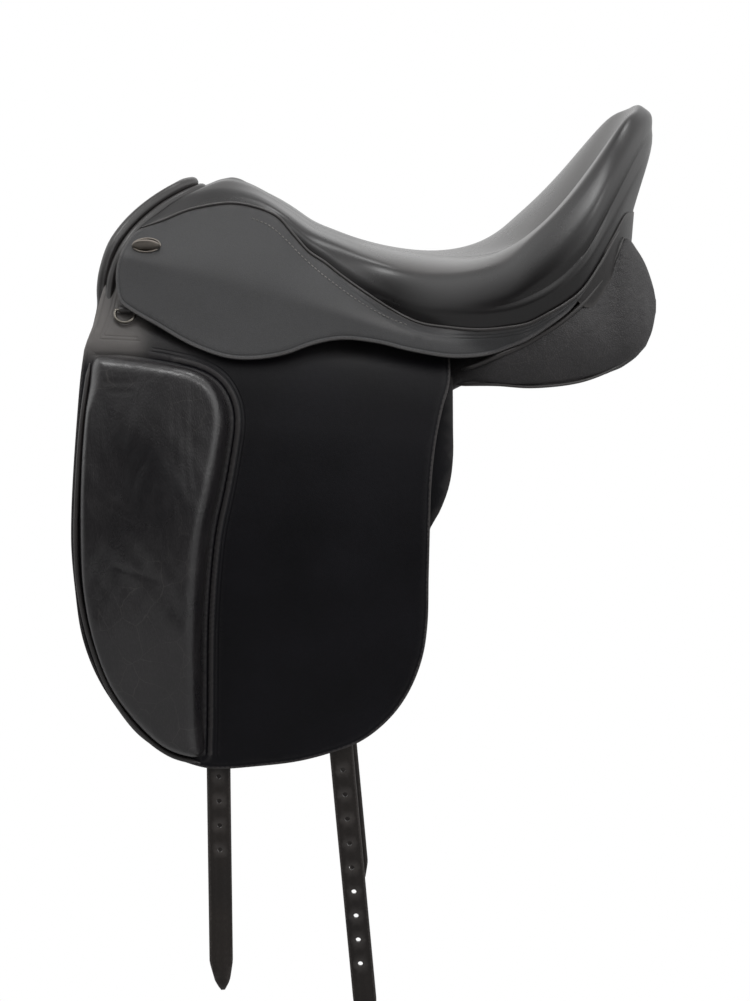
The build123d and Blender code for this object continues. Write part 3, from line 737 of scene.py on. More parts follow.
def fair(P, rounds_along, rounds_dish):
    """Take the lumps out: along the length everywhere but the seam, and all ways inside the dish."""
    w = smoothstep(np.arange(P.shape[1]), 0, 5)[None, :, None]
    for _ in range(rounds_along):
        Q = P.copy()
        Q[1:-1] = (P[:-2] + 2 * P[1:-1] + P[2:]) / 4
        P = P + (Q - P) * w
    inside = smoothstep(np.arange(P.shape[1]), PER[0] + PER[1] + 1, PER[0] + PER[1] + 9)
    lengthwise = smoothstep(kk, 10, 14)
    w = (inside[None, :] * lengthwise[:, None])[..., None]
    for _ in range(rounds_dish):
        right = np.concatenate([P[:, 1:], P[::-1, -2:-1]], axis=1)
        left = np.concatenate([P[:, :1], P[:, :-1]], axis=1)
        up = np.concatenate([P[:1], P[:-1]], axis=0)
        down = np.concatenate([P[1:], P[-1:]], axis=0)
        P = P + 0.5 * w * ((left + right + up + down) / 4 - P)
    mid = (P[:, -1] + P[::-1, -1]) / 2
    mid[:, 1] = 0
    P[:, -1] = mid
    return P


def seat_normals(P):
    n = grid_normals(P)
    return -n if n[NU // 2, NV - 12, 2] < 0 else n


full_P = fair(full_P, 14, 160)
full_N = seat_normals(full_P)
for j in range(NV):
    dj = j - PER[0]
    full_P[:, j] -= full_N[:, j] * (pinch * math.exp(-(dj / 1.6) ** 2))[:, None]
    swell = 2.2 * smoothstep(kk, CREASE_START, CREASE_START + 3) * math.exp(-((dj - 5) / 2.6) ** 2)
    full_P[:, j] += full_N[:, j] * swell[:, None]
full_N = seat_normals(full_P)
full_N[:, -1, 1] = 0
full_N[:, -1] /= np.maximum(np.linalg.norm(full_N[:, -1], axis=1), 1e-6)[:, None]

seat = shell("seat_pad", full_P, full_N, ~facing, lambda d: 1.6 + 5.4 * smoothstep(d, 1, 12),
             M["seat"])
rim_j = PER[0] + PER[1]
across = np.arange(NV)[None, :]
along = kk[:, None]
# Painted sheen on the seat's dish, partly rubbed wear: a lighter tone inside the rim, strongest from the waist to the
# cantle and weaker at the pommel and waist.
dish = smoothstep(across, rim_j - 1, rim_j + 3) * (0.35 + 0.65 * smoothstep(along, 8.5, 13.5))
dish = dish * (1 - 0.5 * smoothstep(along, 3, 9) * (1 - smoothstep(along, 9, 12)))
grid_tree = nearest(full_P.reshape(-1, 3))
dish = dish.ravel()
sheen_and_wear(seat, lambda co: np.array([dish[grid_tree.find(q)[1]] for q in co]))
settle(seat, "tree", "seat_leather", "seat_cover", "seat_foam")
band = shell("cantle_band", full_P, full_N, facing, lambda d: 1.4 + 1.6 * smoothstep(d, 0.5, 4), M["seat"])
settle(band, "tree", "trim_leather", "cantle_facing")

start = int(19.2 * PER_RIB)
rim_line = full_P[start:len(full_P) - start, 0]
away = (rim_line - np.array([120, 0, 0])) * (1, 1, 0)
away /= np.linalg.norm(away, axis=1)[:, None]
from_end = np.minimum(np.arange(len(rim_line)), np.arange(len(rim_line))[::-1])[:, None]
proud = 3.2 * smoothstep(from_end, 7, 19)
drop = 36.0 * (0.06 + 0.94 * smoothstep(from_end, 0, 11))
under = np.array([rim_line + away * (proud - 1.0 - 2.5 * t) + (4.0 - drop * t) * np.array([0, 0, 1.0])
                  for t in np.linspace(0, 1, 10)]).transpose(1, 0, 2)
o = lining("rear_facing", under, (len(under) // 2, 3, 0), 1, 2.4, M["trim"])
settle(o, "tree", "trim_leather")

welt_path = [(x, -a - 1.6, z - 0.6) for x, a, z in SEAM]
welt = tube("left_seat_edging", welt_path, tapered(1.5, 0.35, 0.04), M["trim"])
for side, o in (("left", welt), ("right", twin(welt, "right_seat_edging"))):
    settle(o, "tree", "trim_leather", side + "_seat_welt")

# ------------------------------------------------------------------ skirts
LOBE = [(76, 4.2, 152.3), (89, 9.5, 154), (106, 17.5, 158), (122, 28, 158), (138, 39.5, 155), (151, 54, 150),
        (166, 74, 138.5), (176, 90, 127), (186, 104, 112)]
HINGE_X = [-262, -200, -140, -80, -20, 40]
HINGE_SLOPE = 0.25
low_z = table([(x, 84 - HINGE_SLOPE * (x + 243)) for x in HINGE_X] + [(x, z) for x, z, a in LOBE])
low_a = table([(x, 106 + 0.145 * (x + 243)) for x in HINGE_X] + [(x, a) for x, z, a in LOBE])
SK_LOW = table([(0, 0), (-12, 5.4), (-24, 10.9), (-40, 18.4), (-60, 28), (-75, 35.6)])


def skirt_surf(x, z):
    x, z = np.broadcast_arrays(np.asarray(x, float), np.asarray(z, float))
    zl, al = low_z(x), low_a(x)
    zs, As = seam_z(x) - 1.0, seam_a(x) + 2.0
    W = np.maximum(zs - zl, 4.0)
    w = z - zl
    t = np.clip(w / W, -0.2, 1.1)
    m0, m1 = -0.47 * W, -1.15 * (al - As)
    up = ((2 * t ** 3 - 3 * t ** 2 + 1) * al + (t ** 3 - 2 * t ** 2 + t) * m0
          + (-2 * t ** 3 + 3 * t ** 2) * As + (t ** 3 - t ** 2) * m1)
    return -np.where(w > 0, up, al + SK_LOW(np.minimum(w, 0)))


SKIRT_EDGE = [(-224, 104.5), (-231, 99), (-237, 89), (-241, 77), (-242, 65), (-238, 46), (-229, 39), (-205, 26),
              (-188, 16.5), (-172, 9), (-146, 1), (-123, 0), (-97, 4), (-77, 11), (-60, 15), (-45, 16), (-19, 13),
              (7, 7), (40, 2), (63, 2.5), (78, 5.2), (89, 9.5), (106, 17.5), (122, 28), (138, 39.5), (151, 54),
              (166, 74), (176, 89.5), (184, 101)]
seam_top = spline([(x, z - 1.0) for x, a, z in SEAM[::-1]], step=3)
skirt_low = spline(SKIRT_EDGE, step=3)
skirt_out = np.vstack([skirt_low, seam_top[seam_top[:, 0] < 182]])


def offset_curve(line, d):
    t = np.gradient(line, axis=0)
    t /= np.linalg.norm(t, axis=1)[:, None]
    return line + np.stack([-t[:, 1], t[:, 0]], 1) * d


def tooled(lines, depth=0.4, width=0.5):
    def f(x, z):
        out = np.zeros(len(x))
        for ln in lines:
            out -= depth * np.exp(-(line_distance(x, z, ln) / width) ** 2)
        return out
    return f


low_line = offset_curve(spline(SKIRT_EDGE, step=2.5), 2.6)
rear_tool = spline([(-52, 59), (-32, 45), (-8, 30), (15, 20.5), (40, 17), (66, 17), (92, 20), (108, 24.5), (124, 33),
                    (140, 44), (152, 55), (166, 74)], step=2)
rear_tool2 = offset_curve(rear_tool, 2.6)
SKIRT_TOOLS = [low_line, rear_tool, rear_tool2]
skirt = sheet("left_skirt_leather", skirt_out, skirt_surf, 3.3, M["skirt"], step=3.4, lines=SKIRT_TOOLS,
              lift=tooled(SKIRT_TOOLS, 0.4, 0.55), row_offsets=(-1.1, -0.5, 0, 0.5, 1.1))
stitch_run = [(-128, 113), (-112, 106.5), (-99, 96), (-86, 83), (-72, 71), (-58, 60.5), (-40, 48), (-22, 37.5),
              (-8, 31), (6, 26)]


def point_on(surf, x, z, out):
    """Point that stands out from a surface."""
    n = normals(surf, np.array([float(x)]), np.array([float(z)]))[0]
    return np.array([x, float(surf(x, z)), z]) + n * out


run3 = [point_on(skirt_surf, x, z, 0.1) for x, z in spline(stitch_run, step=6)]
skirt_thread = stitches("left_skirt_stitching", run3,
                        lambda p: normals(skirt_surf, p[0:1], p[2:3])[0], M["thread"], length=2.6, gap=1.5, r=0.5)


def blend_at(o):
    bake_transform(o)


for side, k in SIDES:
    o = on_side(skirt, k)
    blend_at(o)
    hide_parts(side + "_skirt", side + "_skirt_seam")
    t = on_side(skirt_thread, k)
    blend_at(t)

# ------------------------------------------------------------------ flaps
FLAP_EDGE = [(-267.5, 6), (-270, -16), (-272.5, -51), (-275.5, -98), (-277, -134), (-277, -157), (-274.5, -189),
             (-269, -230), (-258, -262), (-241, -291), (-221, -316), (-195, -333), (-171, -342), (-156, -344),
             (-123, -341.5), (-86, -336.5), (-56, -328), (-36, -320), (-19, -308), (-3, -291), (9, -271), (18, -246),
             (22, -219), (23, -177), (24, -138), (25, -106), (29, -68), (35, -40), (41, -19), (41, 14)]
FLAP_TOP_EDGE = [(41, 14), (-60, 23.5), (-132, 30), (-196, 37), (-214, 46), (-226, 62), (-240, 72), (-249, 71),
                 (-253.5, 58), (-257, 44), (-259.5, 30), (-262.5, 21), (-265.5, 13), (-267.5, 6)]
flap_out = np.vstack([spline(FLAP_EDGE, step=4)[:-1], even(np.array(FLAP_TOP_EDGE, float), step=4)[:-1]])
BLOCK = [(-257, -1.5), (-232, -2), (-210, -5), (-190, -8.5), (-170, -13.5), (-155, -22.5), (-146, -37), (-143.5, -52),
         (-146.5, -78), (-152.5, -111), (-158.5, -139), (-162.5, -172), (-165.5, -216), (-166.5, -264),
         (-167, -301), (-168, -331), (-194, -327.5), (-218, -309.5), (-242, -278), (-258, -236), (-266.5, -191),
         (-268.5, -143), (-267, -77), (-262, -25)]
rear = offset_curve(spline(BLOCK[:16], step=2), 3.4)
outer_run = rear[rear[:, 0] > -212]
outer_run = outer_run[np.argmax(outer_run[:, 1] < 0):]
band_lines = [offset_curve(outer_run, 5.8), offset_curve(outer_run, 8.6)]
front_tool = spline([(-247, 66), (-251, 52), (-254, 38), (-257, 27), (-260, 20)], step=2)
corner_tool = np.vstack([spline([(-243, 58), (-246.5, 40), (-250, 27), (-255.5, 14.5)], step=2),
                         even(np.array([(-255.5, 14.5), (-222, 13.0)]), step=2)])
corner_tool2 = np.vstack([spline([(-240, 56), (-243.5, 40), (-247, 28), (-251.5, 17.2)], step=2),
                          even(np.array([(-251.5, 17.2), (-224, 15.8)]), step=2)])
edge_tool = offset_curve(spline(FLAP_EDGE, step=3), 3.0)
FLAP_TOOLS = band_lines + [front_tool, corner_tool, corner_tool2, edge_tool]


def flap_lift(x, z):
    out = tooled(FLAP_TOOLS, 0.3, 0.5)(x, z)
    d = line_distance(x, z, rear)
    ridge = 1.5 * np.exp(-((d - 2.5) / 2.6) ** 2) * (z < 0) * smoothstep(x, -215, -178)
    dip = -0.8 * np.exp(-(d / 1.4) ** 2)
    soft = 0.7 * noise3(np.stack([x, z * 0.7, z * 0], 1), 190, 3)
    return out + ridge + dip + soft


flap = sheet("left_flap_leather", flap_out, flap_surf, 4.4, M["flap"], step=4.2, lines=FLAP_TOOLS + [rear],
             lift=flap_lift, row_offsets=(-1.3, -0.55, 0, 0.55, 1.3))
# Painted highlight: the flap is coloured lighter along its top, most at its front corner, where the light falls.
sheen_and_wear(flap, lambda co: smoothstep(co[:, 2], -10, 14) * (0.12 + 0.88 * smoothstep(-co[:, 0], 205, 228)))


def block_height(x, z, d):
    across = smoothstep(x, -262, -172)
    full = 19 + 13.5 * across
    full = full * (1 - 0.30 * smoothstep(-z, 215, 325))
    full = full - 4.5 * np.exp(-((z + 62) / 40.0) ** 2) * smoothstep(x, -215, -170)
    rim = 13 - 7 * smoothstep(-x, 225, 255) * smoothstep(-z, 20, 50)
    t = np.clip(d / rim, 0, 1)
    body = full * np.sqrt(np.clip(1 - (1 - t) ** 2.1, 0, 1))
    p = np.stack([x, z, z * 0], 1)
    wr = 0.25 * noise3(p * (1, 0.45, 1), 16, 11) * smoothstep(-z, 20, 60) + 1.0 * noise3(p, 95, 5)
    # shallow drag wrinkles: a few flat ones below the top edge, upright ones along the rear shoulder
    for ax, az, bx, bz, dep in ((-246, -24, -222, -25, 0.35), (-244, -31, -224, -32, 0.3),
                                (-181, -52, -176, -112, 0.3), (-174, -50, -170, -104, 0.3),
                                (-188, -58, -185, -96, 0.22), (-238, -170, -200, -180, 0.25),
                                (-243, -122, -214, -135, 0.25)):
        ln = np.array([(ax, az), ((ax + bx) / 2 - 1, (az + bz) / 2), (bx, bz)], float)
        wr -= dep * np.exp(-(line_distance(x, z, spline(ln, step=4)) / 1.8) ** 2)
    return np.maximum(body + wr * smoothstep(d, 2, 9), 0.3)


block_out = spline(BLOCK, step=3, closed=True)[:-1]
block = height_pad("left_knee_pad", block_out, flap_surf, block_height, M["block"], step=2.6, sink=-0.6)


PIPE = [(-262, -6), (-267.5, -50), (-271, -100), (-272.5, -150), (-270, -192), (-260.5, -237),
        (-244, -279), (-219.5, -312), (-194.5, -331), (-170, -338)]
pipe = tube("left_block_edging", [point_on(flap_surf, x, z, 3.0) for x, z in PIPE],
            tapered(2.2, 0.3, 0.03), M["trim"])
for side, k in SIDES:
    o = on_side(flap, k)
    blend_at(o)
    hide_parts(side + "_flap", side + "_flap_top")
    o = on_side(block, k)
    settle(o, side + "_flap", "block_leather", side + "_knee_block")
    o = on_side(pipe, k)
    settle(o, side + "_flap", "trim_leather", side + "_block_piping")

# ------------------------------------------------------------------ sweat flaps, webs and straps
SWEAT_EDGE = [(-232, -57), (-234, -62), (-240, -110), (-242, -160), (-238, -210), (-226, -252), (-204, -284),
              (-170, -304), (-120, -312), (-70, -306), (-34, -288), (-8, -258), (6, -220), (14, -180), (24, -143),
              (33, -127), (41, -105), (44, -82), (44, -60)]
SWEAT_TOP_EDGE = [(44, -60), (44, -16), (30, -6), (-50, 0), (-140, 8), (-222, 14), (-232, -57)]
sweat_out = np.vstack([spline(SWEAT_EDGE, step=5)[:-1], even(np.array(SWEAT_TOP_EDGE, float), step=5)[:-1]])
sweat_surf = inner_surf(16.0)
sweat = sheet("left_sweat_leather", sweat_out, sweat_surf, 2.9, M["flap"], step=7)
web_out = np.array([(-186, 26.9), (-186, 8.9), (-52, -3.2), (-52, 14.8)], float)
web_surf = inner_surf(8.0)
web = sheet("left_girth_webbing", even(np.vstack([web_out, web_out[:1]]), step=5)[:-1], web_surf, 3.9,
            M["webbing"], step=6)


HOLE_PITCH = 21.5
STRAP_HALF = 10.0
WEB_DEPTH = 8.0         # of the straps and the webbing under the flap's face


def strap(name, x_top, z_top, x_hem, z_hem, z_tip, lean, holes, first):
    """One girth strap, bent forward a little by its own curl, punched and pointed."""
    x_tip = x_hem + lean * (z_hem - z_tip)
    edge = [(x_top - STRAP_HALF, z_top), (x_top + STRAP_HALF, z_top), (x_hem + STRAP_HALF, z_hem),
            (x_tip + STRAP_HALF - 1.2, z_tip + 26),
            (x_tip + 6.2, z_tip + 9), (x_tip + 1.5, z_tip), (x_tip - 1.5, z_tip), (x_tip - 6.8, z_tip + 9),
            (x_tip - STRAP_HALF - 1.2, z_tip + 26), (x_hem - STRAP_HALF, z_hem), (x_top - STRAP_HALF, z_top)]
    pts = [(x_hem + lean * (z_hem - (first - i * HOLE_PITCH)), first - i * HOLE_PITCH, 2.2) for i in range(holes)]
    line = even(np.array(edge, float), step=3)[:-1]
    mid = even(np.array([(x_top, z_top), (x_hem, z_hem), (x_tip, z_tip + 12)], float), step=4)
    grooves = [offset_curve(mid, 7.6), offset_curve(mid, -7.6)]
    return sheet(name, line, inner_surf(WEB_DEPTH), 3.9, M["strap"], step=3.6, holes=pts, lines=grooves,
                 lift=tooled(grooves, 0.4, 0.7), row_offsets=(-0.9, 0, 0.9))


# (x_top, z_top, x_hem, z_hem, z_tip, lean, holes, first); the off-side pair hangs a little further forward.
STRAPS = {"left": {"front": (-160, 2, -155, -346.5, -544, 0.008, 4, -353.0),
                   "rear": (-78, -6, -50.5, -331.0, -578, 0.085, 9, -346.0)},
          "right": {"front": (-165, 2, -179, -348.5, -544, 0.0, 4, -353.0),
                    "rear": (-80, -6, -59, -332.0, -578, 0.085, 9, -346.0)}}
for side, k in SIDES:
    o = on_side(sweat, k)
    blend_at(o)
    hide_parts(side + "_sweat_flap", side + "_sweat_flap_top")
    o = on_side(web, k)
    settle(o, "tree", "webbing", side + "_girth_web")
    for part, y in (("front", -184), ("rear", -187)):
        spec = STRAPS[side][part]
        o = strap(f"{side}_{part}_girth_strap", *spec)
        if k == -1:
            near = o
            o = twin(near, "off_strap")
            bpy.data.objects.remove(near)
            o.name = f"{side}_{part}_girth_strap"
        blend_at(o)
        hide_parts(f"{side}_{part}_strap", f"{side}_{part}_strap_tail")

# ------------------------------------------------------------------ panels
PANEL = [(-226, [(40, 44), (60, 46), (70, 22), (92, -44), (88, -58), (72, -56), (50, 8)]),
         (-190, [(36, 48), (58, 52), (72, 20), (94, -42), (94, -60), (74, -56), (46, 16)]),
         (-150, [(34, 44), (60, 54), (88, 22), (112, -40), (108, -62), (84, -50), (42, 24)]),
         (-60, [(32, 22), (56, 34), (104, 12), (128, -40), (124, -64), (84, -38), (38, 0)]),
         (10, [(32, -4), (56, 7), (102, 2), (120, -28), (124, -58), (84, -36), (36, -22)]),
         (36, [(32, -4), (56, 8), (104, 4), (123, -15), (127, -34), (84, -30), (34, -20)]),
         (54, [(32, -4), (56, 8), (108, 6), (129, -8), (131, -22.5), (84, -24), (34, -18)]),
         (80, [(32, 3), (56, 12), (128, 11), (146, 2), (143, -22), (84, -18), (34, -12)]),
         (110, [(32, 16), (56, 24), (130, 24), (150, 17), (146, -23), (84, -16), (34, -8)]),
         (150, [(32, 38), (56, 48), (118, 50), (138, 45), (135, -20), (84, -11), (34, 2)]),
         (178, [(32, 78), (56, 92), (104, 86), (116, 80), (121, -13), (84, -8), (36, 10)]),
         (192, [(30, 86), (54, 89), (84, 93), (106, 95.8), (114, -8.2), (84, -2), (38, 16)]),
         (202, [(34, 76), (54, 79), (76, 82), (98, 85.3), (108, -1.7), (84, 4), (44, 22)]),
         (209, [(42, 66), (58, 69), (76, 72), (94, 75), (102, 5.1), (82, 8), (52, 28)]),
         (215, [(54, 53), (62, 56), (76, 60), (88, 62.2), (95, 14.2), (80, 17), (60, 34)]),
         (218.5, [(64, 47), (70, 49), (78, 51), (86, 52.3), (90, 23.2), (80, 26), (68, 34)]),
         (220.5, [(72, 42), (75, 43), (79, 44), (84, 44), (86, 31.7), (80, 33), (74, 36)])]


PER_SIDE = 8            # points between two corners of a panel section


def ring_points(pts):
    p = np.array(pts, float)
    q = np.vstack([p[-1], p, p[0], p[1]])
    return np.array(chain(q, [PER_SIDE] * (len(q) - 3)))


def panel_mesh():
    rings = []
    for x, pts in PANEL:
        r = ring_points(pts)
        rings.append(np.column_stack([np.full(len(r), float(x)), -r[:, 0], r[:, 1]]))
    rings = np.array(rings)
    cols = []
    for c in range(rings.shape[1]):
        cols.append(spline(rings[:, c], count=130))
    P = np.array(cols).transpose(1, 0, 2)
    caps = []
    for end, depth in ((P[0], -6.5), (P[-1], 0.8)):
        c = end.mean(0)
        caps.append([c + (end - c) * k + np.array([depth * math.sqrt(1 - k * k), 0, 0])
                     for k in (0.92, 0.75, 0.5, 0.2)])
    return np.vstack([np.array(caps[0][::-1]), P, np.array(caps[1])])


PP = panel_mesh()
panel = mend(make("left_panel_pad", PP.reshape(-1, 3), plugged(PP), M["panel"]))
co, no = read(panel)
side_face = smoothstep(-no[:, 1], 0.5, 0.9) * smoothstep(co[:, 0], 48, 90)
mid = np.exp(-((co[:, 2] - 12 - 0.10 * (co[:, 0] - 80)) / 30.0) ** 2)
co += no * (3.0 * side_face * mid)[:, None]
co += no * (0.8 * noise3(co, 80, 21) + 0.35 * noise3(co, 14, 22) * smoothstep(-no[:, 2], -0.2, 0.5))[:, None]
write(panel, co)
pan_pipe_path = [(52, 132, -11), (66, 141, -5), (80, 149, 2), (96, 152.4, 9), (110, 153, 16.5), (132, 149.5, 30),
                 (150, 142.5, 44), (164, 133, 59), (176, 121, 75), (184, 110.5, 89), (189, 105, 98)]
pan_pipe = tube("left_panel_edging", [(x, -a, z) for x, a, z in pan_pipe_path],
                tapered(2.3, 0.4, 0.05), M["trim"])
low_cord = [(46, 129, -24.5), (80, 144.5, -22.5), (110, 147, -24), (150, 136.5, -21), (178, 122, -13),
            (192, 114.5, -6), (203, 106.5, 3), (210, 99, 12)]
pan_low = tube("left_panel_hem", [(x, -a, z) for x, a, z in low_cord],
               tapered(1.3, 0.4, 0.05), M["trim"], seg=10)
for side, k in SIDES:
    o = on_side(panel, k)
    settle(o, "tree", "panel_leather", side + "_panel")
    o = on_side(pan_pipe, k)
    settle(o, "tree", "trim_leather", side + "_panel_piping")
    o = on_side(pan_low, k)
    settle(o, "tree", "trim_leather")

# ------------------------------------------------------------------ pommel and linings
ROLL = [(-262.5, 116, 17), (-259.5, 108, 28), (-256.5, 101, 40), (-256, 95, 54), (-253.5, 90, 70), (-247.5, 82, 89),
        (-239, 72.5, 102.5), (-228, 61.5, 114.5), (-213, 48, 126.5), (-195, 28, 137), (-184, 0, 140)]
FACING = [(-258, 122, 14), (-255.5, 117.5, 22), (-252.5, 112, 31), (-249.5, 106, 41), (-248.5, 100, 52),
          (-246.5, 94, 66), (-240.5, 86, 83), (-232, 76.5, 97), (-221, 65, 109), (-206, 51, 121), (-188, 30, 131),
          (-176, 0, 135)]
GULLET = [(0, 110), (20, 107), (36, 97), (50, 80), (64, 55), (78, 25), (90, -8), (98, -38)]
cut_x = table([(0, -158), (28, -168), (48, -190), (64, -209), (80, -224), (96, -232), (120, -236)])


def both(pts):
    return [(x, -a, z) for x, a, z in pts] + [(x, a, z) for x, a, z in pts[::-1] if a > 0]


for name, pts, r, node in (("pommel_outer_roll", ROLL, 5.0, "pommel_roll"),
                           ("pommel_inner_roll", FACING, 4.4, "pommel_facing")):
    o = tube(name, both(pts), tapered(r, 0.35, 0.14), M["trim"], seg=20, step=3)
    settle(o, "tree", "trim_leather", node)

roll_line = spline(both(ROLL), count=90)
edge_line = spline(both([tuple(p) for p in RIBS[0]]), count=90)
bed = np.array([roll_line * (1 - t) + edge_line * t - np.array([0, 0, 1.0]) * (3.5 + 3 * math.sin(math.pi * t))
                for t in np.linspace(0.12, 1.1, 8)])
bed = bed.transpose(1, 0, 2)[14:-14]
o = lining("pommel_bed", bed, (len(bed) // 2, 4, 2), 1, 2.0, M["trim"])
settle(o, "tree", "trim_leather")

arch_line = spline([(a, z) for a, z in [(-y, z) for y, z in GULLET[:0:-1]] + GULLET], count=80)
liner = []
for y, z in arch_line:
    x0 = float(cut_x(abs(y))) + 4
    liner.append([(x0 + t * 40, y, z) for t in np.linspace(0, 1, 8)])
liner = np.array(liner)
o = lining("gullet_lining", liner, (40, 4, 2), -1, 2.2, M["panel"])
settle(o, "tree", "panel_leather", "gullet_liner")

chan = []
chan_z = table([(-140, 54), (-60, 24), (0, 1.5), (50, 3), (110, 24), (150, 44), (182, 80)])
for x in np.linspace(-138, 182, 60):
    chan.append([(x, y, float(chan_z(x)) + 2.4 * (1 - (y / 30) ** 2)) for y in np.linspace(-30, 30, 14)])
chan = np.array(chan)
o = lining("channel_lining", chan, (30, 7, 2), -1, 1.8, M["panel"])
settle(o, "tree", "panel_leather", "channel_liner")

bands = []
web_z = table([(-77, 80), (-46, 61), (-8, 36), (30, 24), (66, 22)])
for x0, x1 in ((-76, -50), (-40, -12), (34, 60)):
    g3 = np.array([[(x, y, float(web_z(x)) + 3.0 - 2.0 * (1 - (y / 78) ** 2)) for y in np.linspace(-78, 78, 20)]
                   for x in np.linspace(x0, x1, 6)])
    bands.append(lining("web", g3, (3, 10, 2), 1, 1.6, M["webbing"]))
bpy.ops.object.select_all(action="DESELECT")
for b in bands:
    b.select_set(True)
bpy.context.view_layer.objects.active = bands[0]
bpy.ops.object.join()
bands[0].name = "seat_web_bands"
settle(bands[0], "tree", "webbing", "seat_webbing")

# ------------------------------------------------------------------ rings, chapes and studs
RING = np.array([-234, -118.0, 38.0])
LEAN = math.radians(-38)


def leaned(p):
    """From the ring's own axes, x along the bar and z up the chape, to the saddle's."""
    x, y, z = p
    c, s = math.cos(LEAN), math.sin(LEAN)
    return RING + np.array([x, y * c - z * s, y * s + z * c])


def chape(name):
    r = 2.75
    bend = [(r * math.cos(a), r * math.sin(a)) for a in np.linspace(math.radians(50), math.radians(-230), 18)]
    line = [(2.9, 14.2), (2.9, 5.0)] + bend + [(1.0, 6.0), (1.0, 14.2)]
    P = np.array([[leaned((x, 1.9 + (y - 1.9) * k if z > 4 else y * k, z if z > 4 else z * k)) for y, z in line]
                  for x, k in ((-5, 0.92), (-4.6, 1.0), (4.6, 1.0), (5, 0.92))])
    return mend(make(name, P.reshape(-1, 3), plugged(P), M["trim"]))


ring_chape = chape("left_ring_chape")
STUD_X, STUD_Z = -217.0, 91.0
rim_path = []
for a in np.linspace(0, 2 * math.pi, 40, endpoint=False):
    rim_path.append(point_on(skirt_surf, STUD_X + 11.6 * math.cos(a), STUD_Z + 5.2 * math.sin(a), 0.5))
rim = np.array(rim_path)
rc = rim.mean(0)
tv = np.roll(rim, -1, 0) - np.roll(rim, 1, 0)
tv /= np.linalg.norm(tv, axis=1)[:, None]
ringv = []
for i in range(len(rim)):
    out = rim[i] - rc
    out -= tv[i] * (out @ tv[i])
    out /= np.linalg.norm(out)
    up = np.cross(tv[i], out)
    ringv.append([rim[i] + 0.9 * (math.cos(b) * out + math.sin(b) * up)
                  for b in np.linspace(0, 2 * math.pi, 8, endpoint=False)])
ringv = np.array(ringv)
M["pewter"] = metal("pewter", (0.30, 0.27, 0.24), rough=0.35, scratch=0.2)
stud_rim = make("left_stud_rim", ringv.reshape(-1, 3), grid(ringv, close_u=True, close_v=True), M["pewter"])
for side, k in SIDES:
    o = on_side(ring_chape, k)
    settle(o, "tree", "trim_leather", side + "_d_ring_chape")
    o = on_side(stud_rim, k)
    settle(o, "tree", "nickel")

# ------------------------------------------------------------------ finishes of the pieces kept from the frame
KEPT = {"tree_head": "wood", "tree_cantle": "wood", "tree_rail": "wood", "gullet_plate": "spring",
        "head_plate": "spring", "bar_rivets": "steel", "stirrup_bar": "steel", "stirrup_catch": "steel",
        "catch_pin": "steel", "d_ring": "nickel", "skirt_stud": "pewter"}
for name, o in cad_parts.items():
    base = name.split("_", 1)[1] if name.startswith(("left_", "right_")) else name
    if base in KEPT:
        o.data.materials.clear()
        o.data.materials.append(M[KEPT[base]])

# ------------------------------------------------------------------ floor, lights and camera
FLOOR_Z = -0.605
floor_mat, nt, b = node_tree("white_floor")
fill(nt, b, {"Base Color": (0.30, 0.30, 0.30, 1), "Roughness": 0.9})
paper = add(nt, "ShaderNodeEmission", {1: 1.0})
path = add(nt, "ShaderNodeLightPath", {})
pick = add(nt, "ShaderNodeMixShader", {0: path.outputs["Is Camera Ray"], 1: b.outputs[0], 2: paper.outputs[0]})
fill(nt, nt.nodes["Material Output"], {0: pick.outputs[0]})
me = bpy.data.meshes.new("floor")
me.from_pydata([(12 * i, 12 * j, FLOOR_Z) for i, j in ((-1, -1), (1, -1), (1, 1), (-1, 1))], [], [(0, 1, 2, 3)])
floor = bpy.data.objects.new("floor", me)
me.materials.append(floor_mat)
scene.collection.objects.link(floor)


# Soft boxes painted on the sky: (azimuth from the near side towards the cantle, elevation, sharpness, strength).
SOFT_BOXES = [(60, 5, 7, 0.51), (-120, 5, 7, 0.49), (120, 5, 7, 0.46), (180, 5, 7, 0.62), (50, 32, 7, 0.69),
              (-100, 32, 7, 0.80), (100, 32, 7, 0.69), (180, 32, 7, 0.2), (0, 60, 7, 0.50), (-80, 60, 7, 0.70),
              (80, 60, 7, 0.17), (-25, 72, 90, 6.0), (150, 66, 90, 4.0), (35, 48, 160, 4.0)]


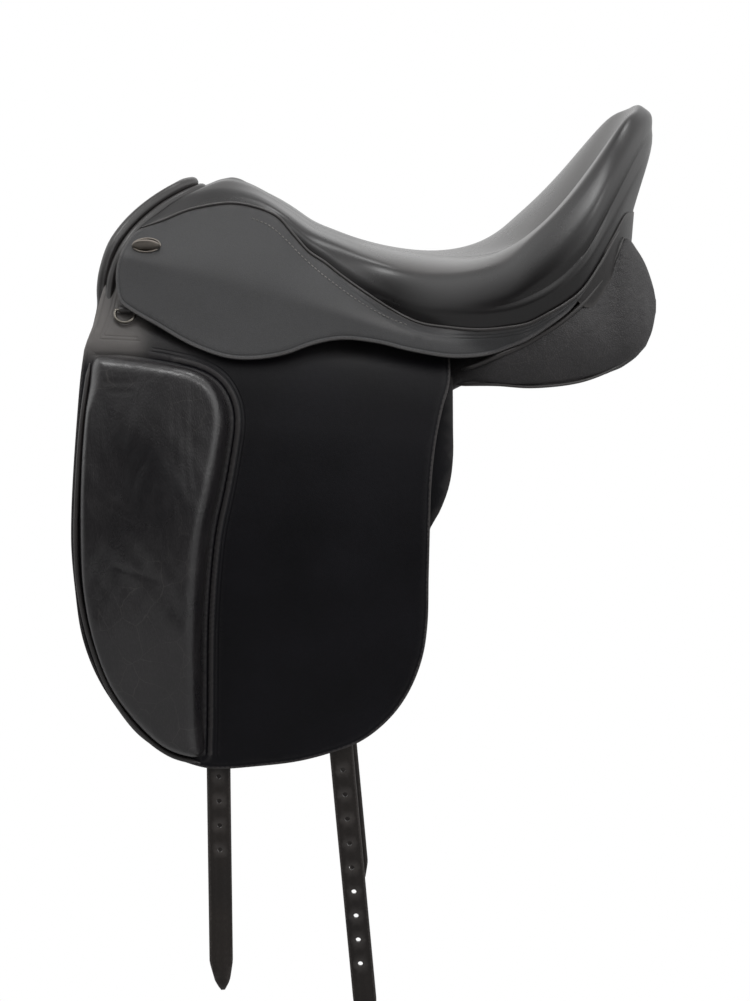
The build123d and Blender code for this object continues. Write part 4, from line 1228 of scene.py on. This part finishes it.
def studio():
    """White paper for the camera; everything else is lit by soft boxes painted on the sky."""
    world = bpy.data.worlds.new("studio")
    scene.world = world
    world.use_nodes = True
    nt = world.node_tree
    nt.nodes.clear()
    way = add(nt, "ShaderNodeTexCoord", {}).outputs["Generated"]
    total = 0.0
    for az, el, sharp, strength in SOFT_BOXES:
        a, e = math.radians(az), math.radians(el)
        centre = (math.cos(e) * math.sin(a), -math.cos(e) * math.cos(a), math.sin(e))
        dot = add(nt, "ShaderNodeVectorMath", {0: way, 1: centre}, operation="DOT_PRODUCT")
        near = add(nt, "ShaderNodeMath", {0: dot.outputs["Value"], 1: sharp, 2: -sharp}, operation="MULTIPLY_ADD")
        glow = add(nt, "ShaderNodeMath", {0: near.outputs[0]}, operation="EXPONENT")
        part = add(nt, "ShaderNodeMath", {0: glow.outputs[0], 1: strength, 2: total}, operation="MULTIPLY_ADD")
        total = part.outputs[0]
    sky = add(nt, "ShaderNodeBackground", {0: (1, 1, 1, 1), 1: total})
    seen = add(nt, "ShaderNodeBackground", {0: (1, 1, 1, 1)})
    path = add(nt, "ShaderNodeLightPath", {})
    mix = add(nt, "ShaderNodeMixShader", {0: path.outputs["Is Camera Ray"], 1: sky.outputs[0], 2: seen.outputs[0]})
    add(nt, "ShaderNodeOutputWorld", {0: mix.outputs[0]})


studio()


ELEV = math.radians(10.0)
DIST = 2.2
SENSOR = 36.0
MM_PER_PIXEL = 0.91
PICTURE_WIDTH = 750.0
TARGET = Vector((-0.022, 0.0, -0.147))
cam_data = bpy.data.cameras.new("camera")
cam_data.sensor_fit = "HORIZONTAL"
cam_data.sensor_width = SENSOR
cam_data.lens = SENSOR * (DIST / MM_PER_PIXEL * 1000) / PICTURE_WIDTH
cam = bpy.data.objects.new("camera", cam_data)
scene.collection.objects.link(cam)
cam.location = TARGET + Vector((0, -DIST * math.cos(ELEV), DIST * math.sin(ELEV)))
cam.rotation_euler = (TARGET - cam.location).to_track_quat("-Z", "Y").to_euler()
scene.camera = cam
scene.view_settings.view_transform = "Standard"
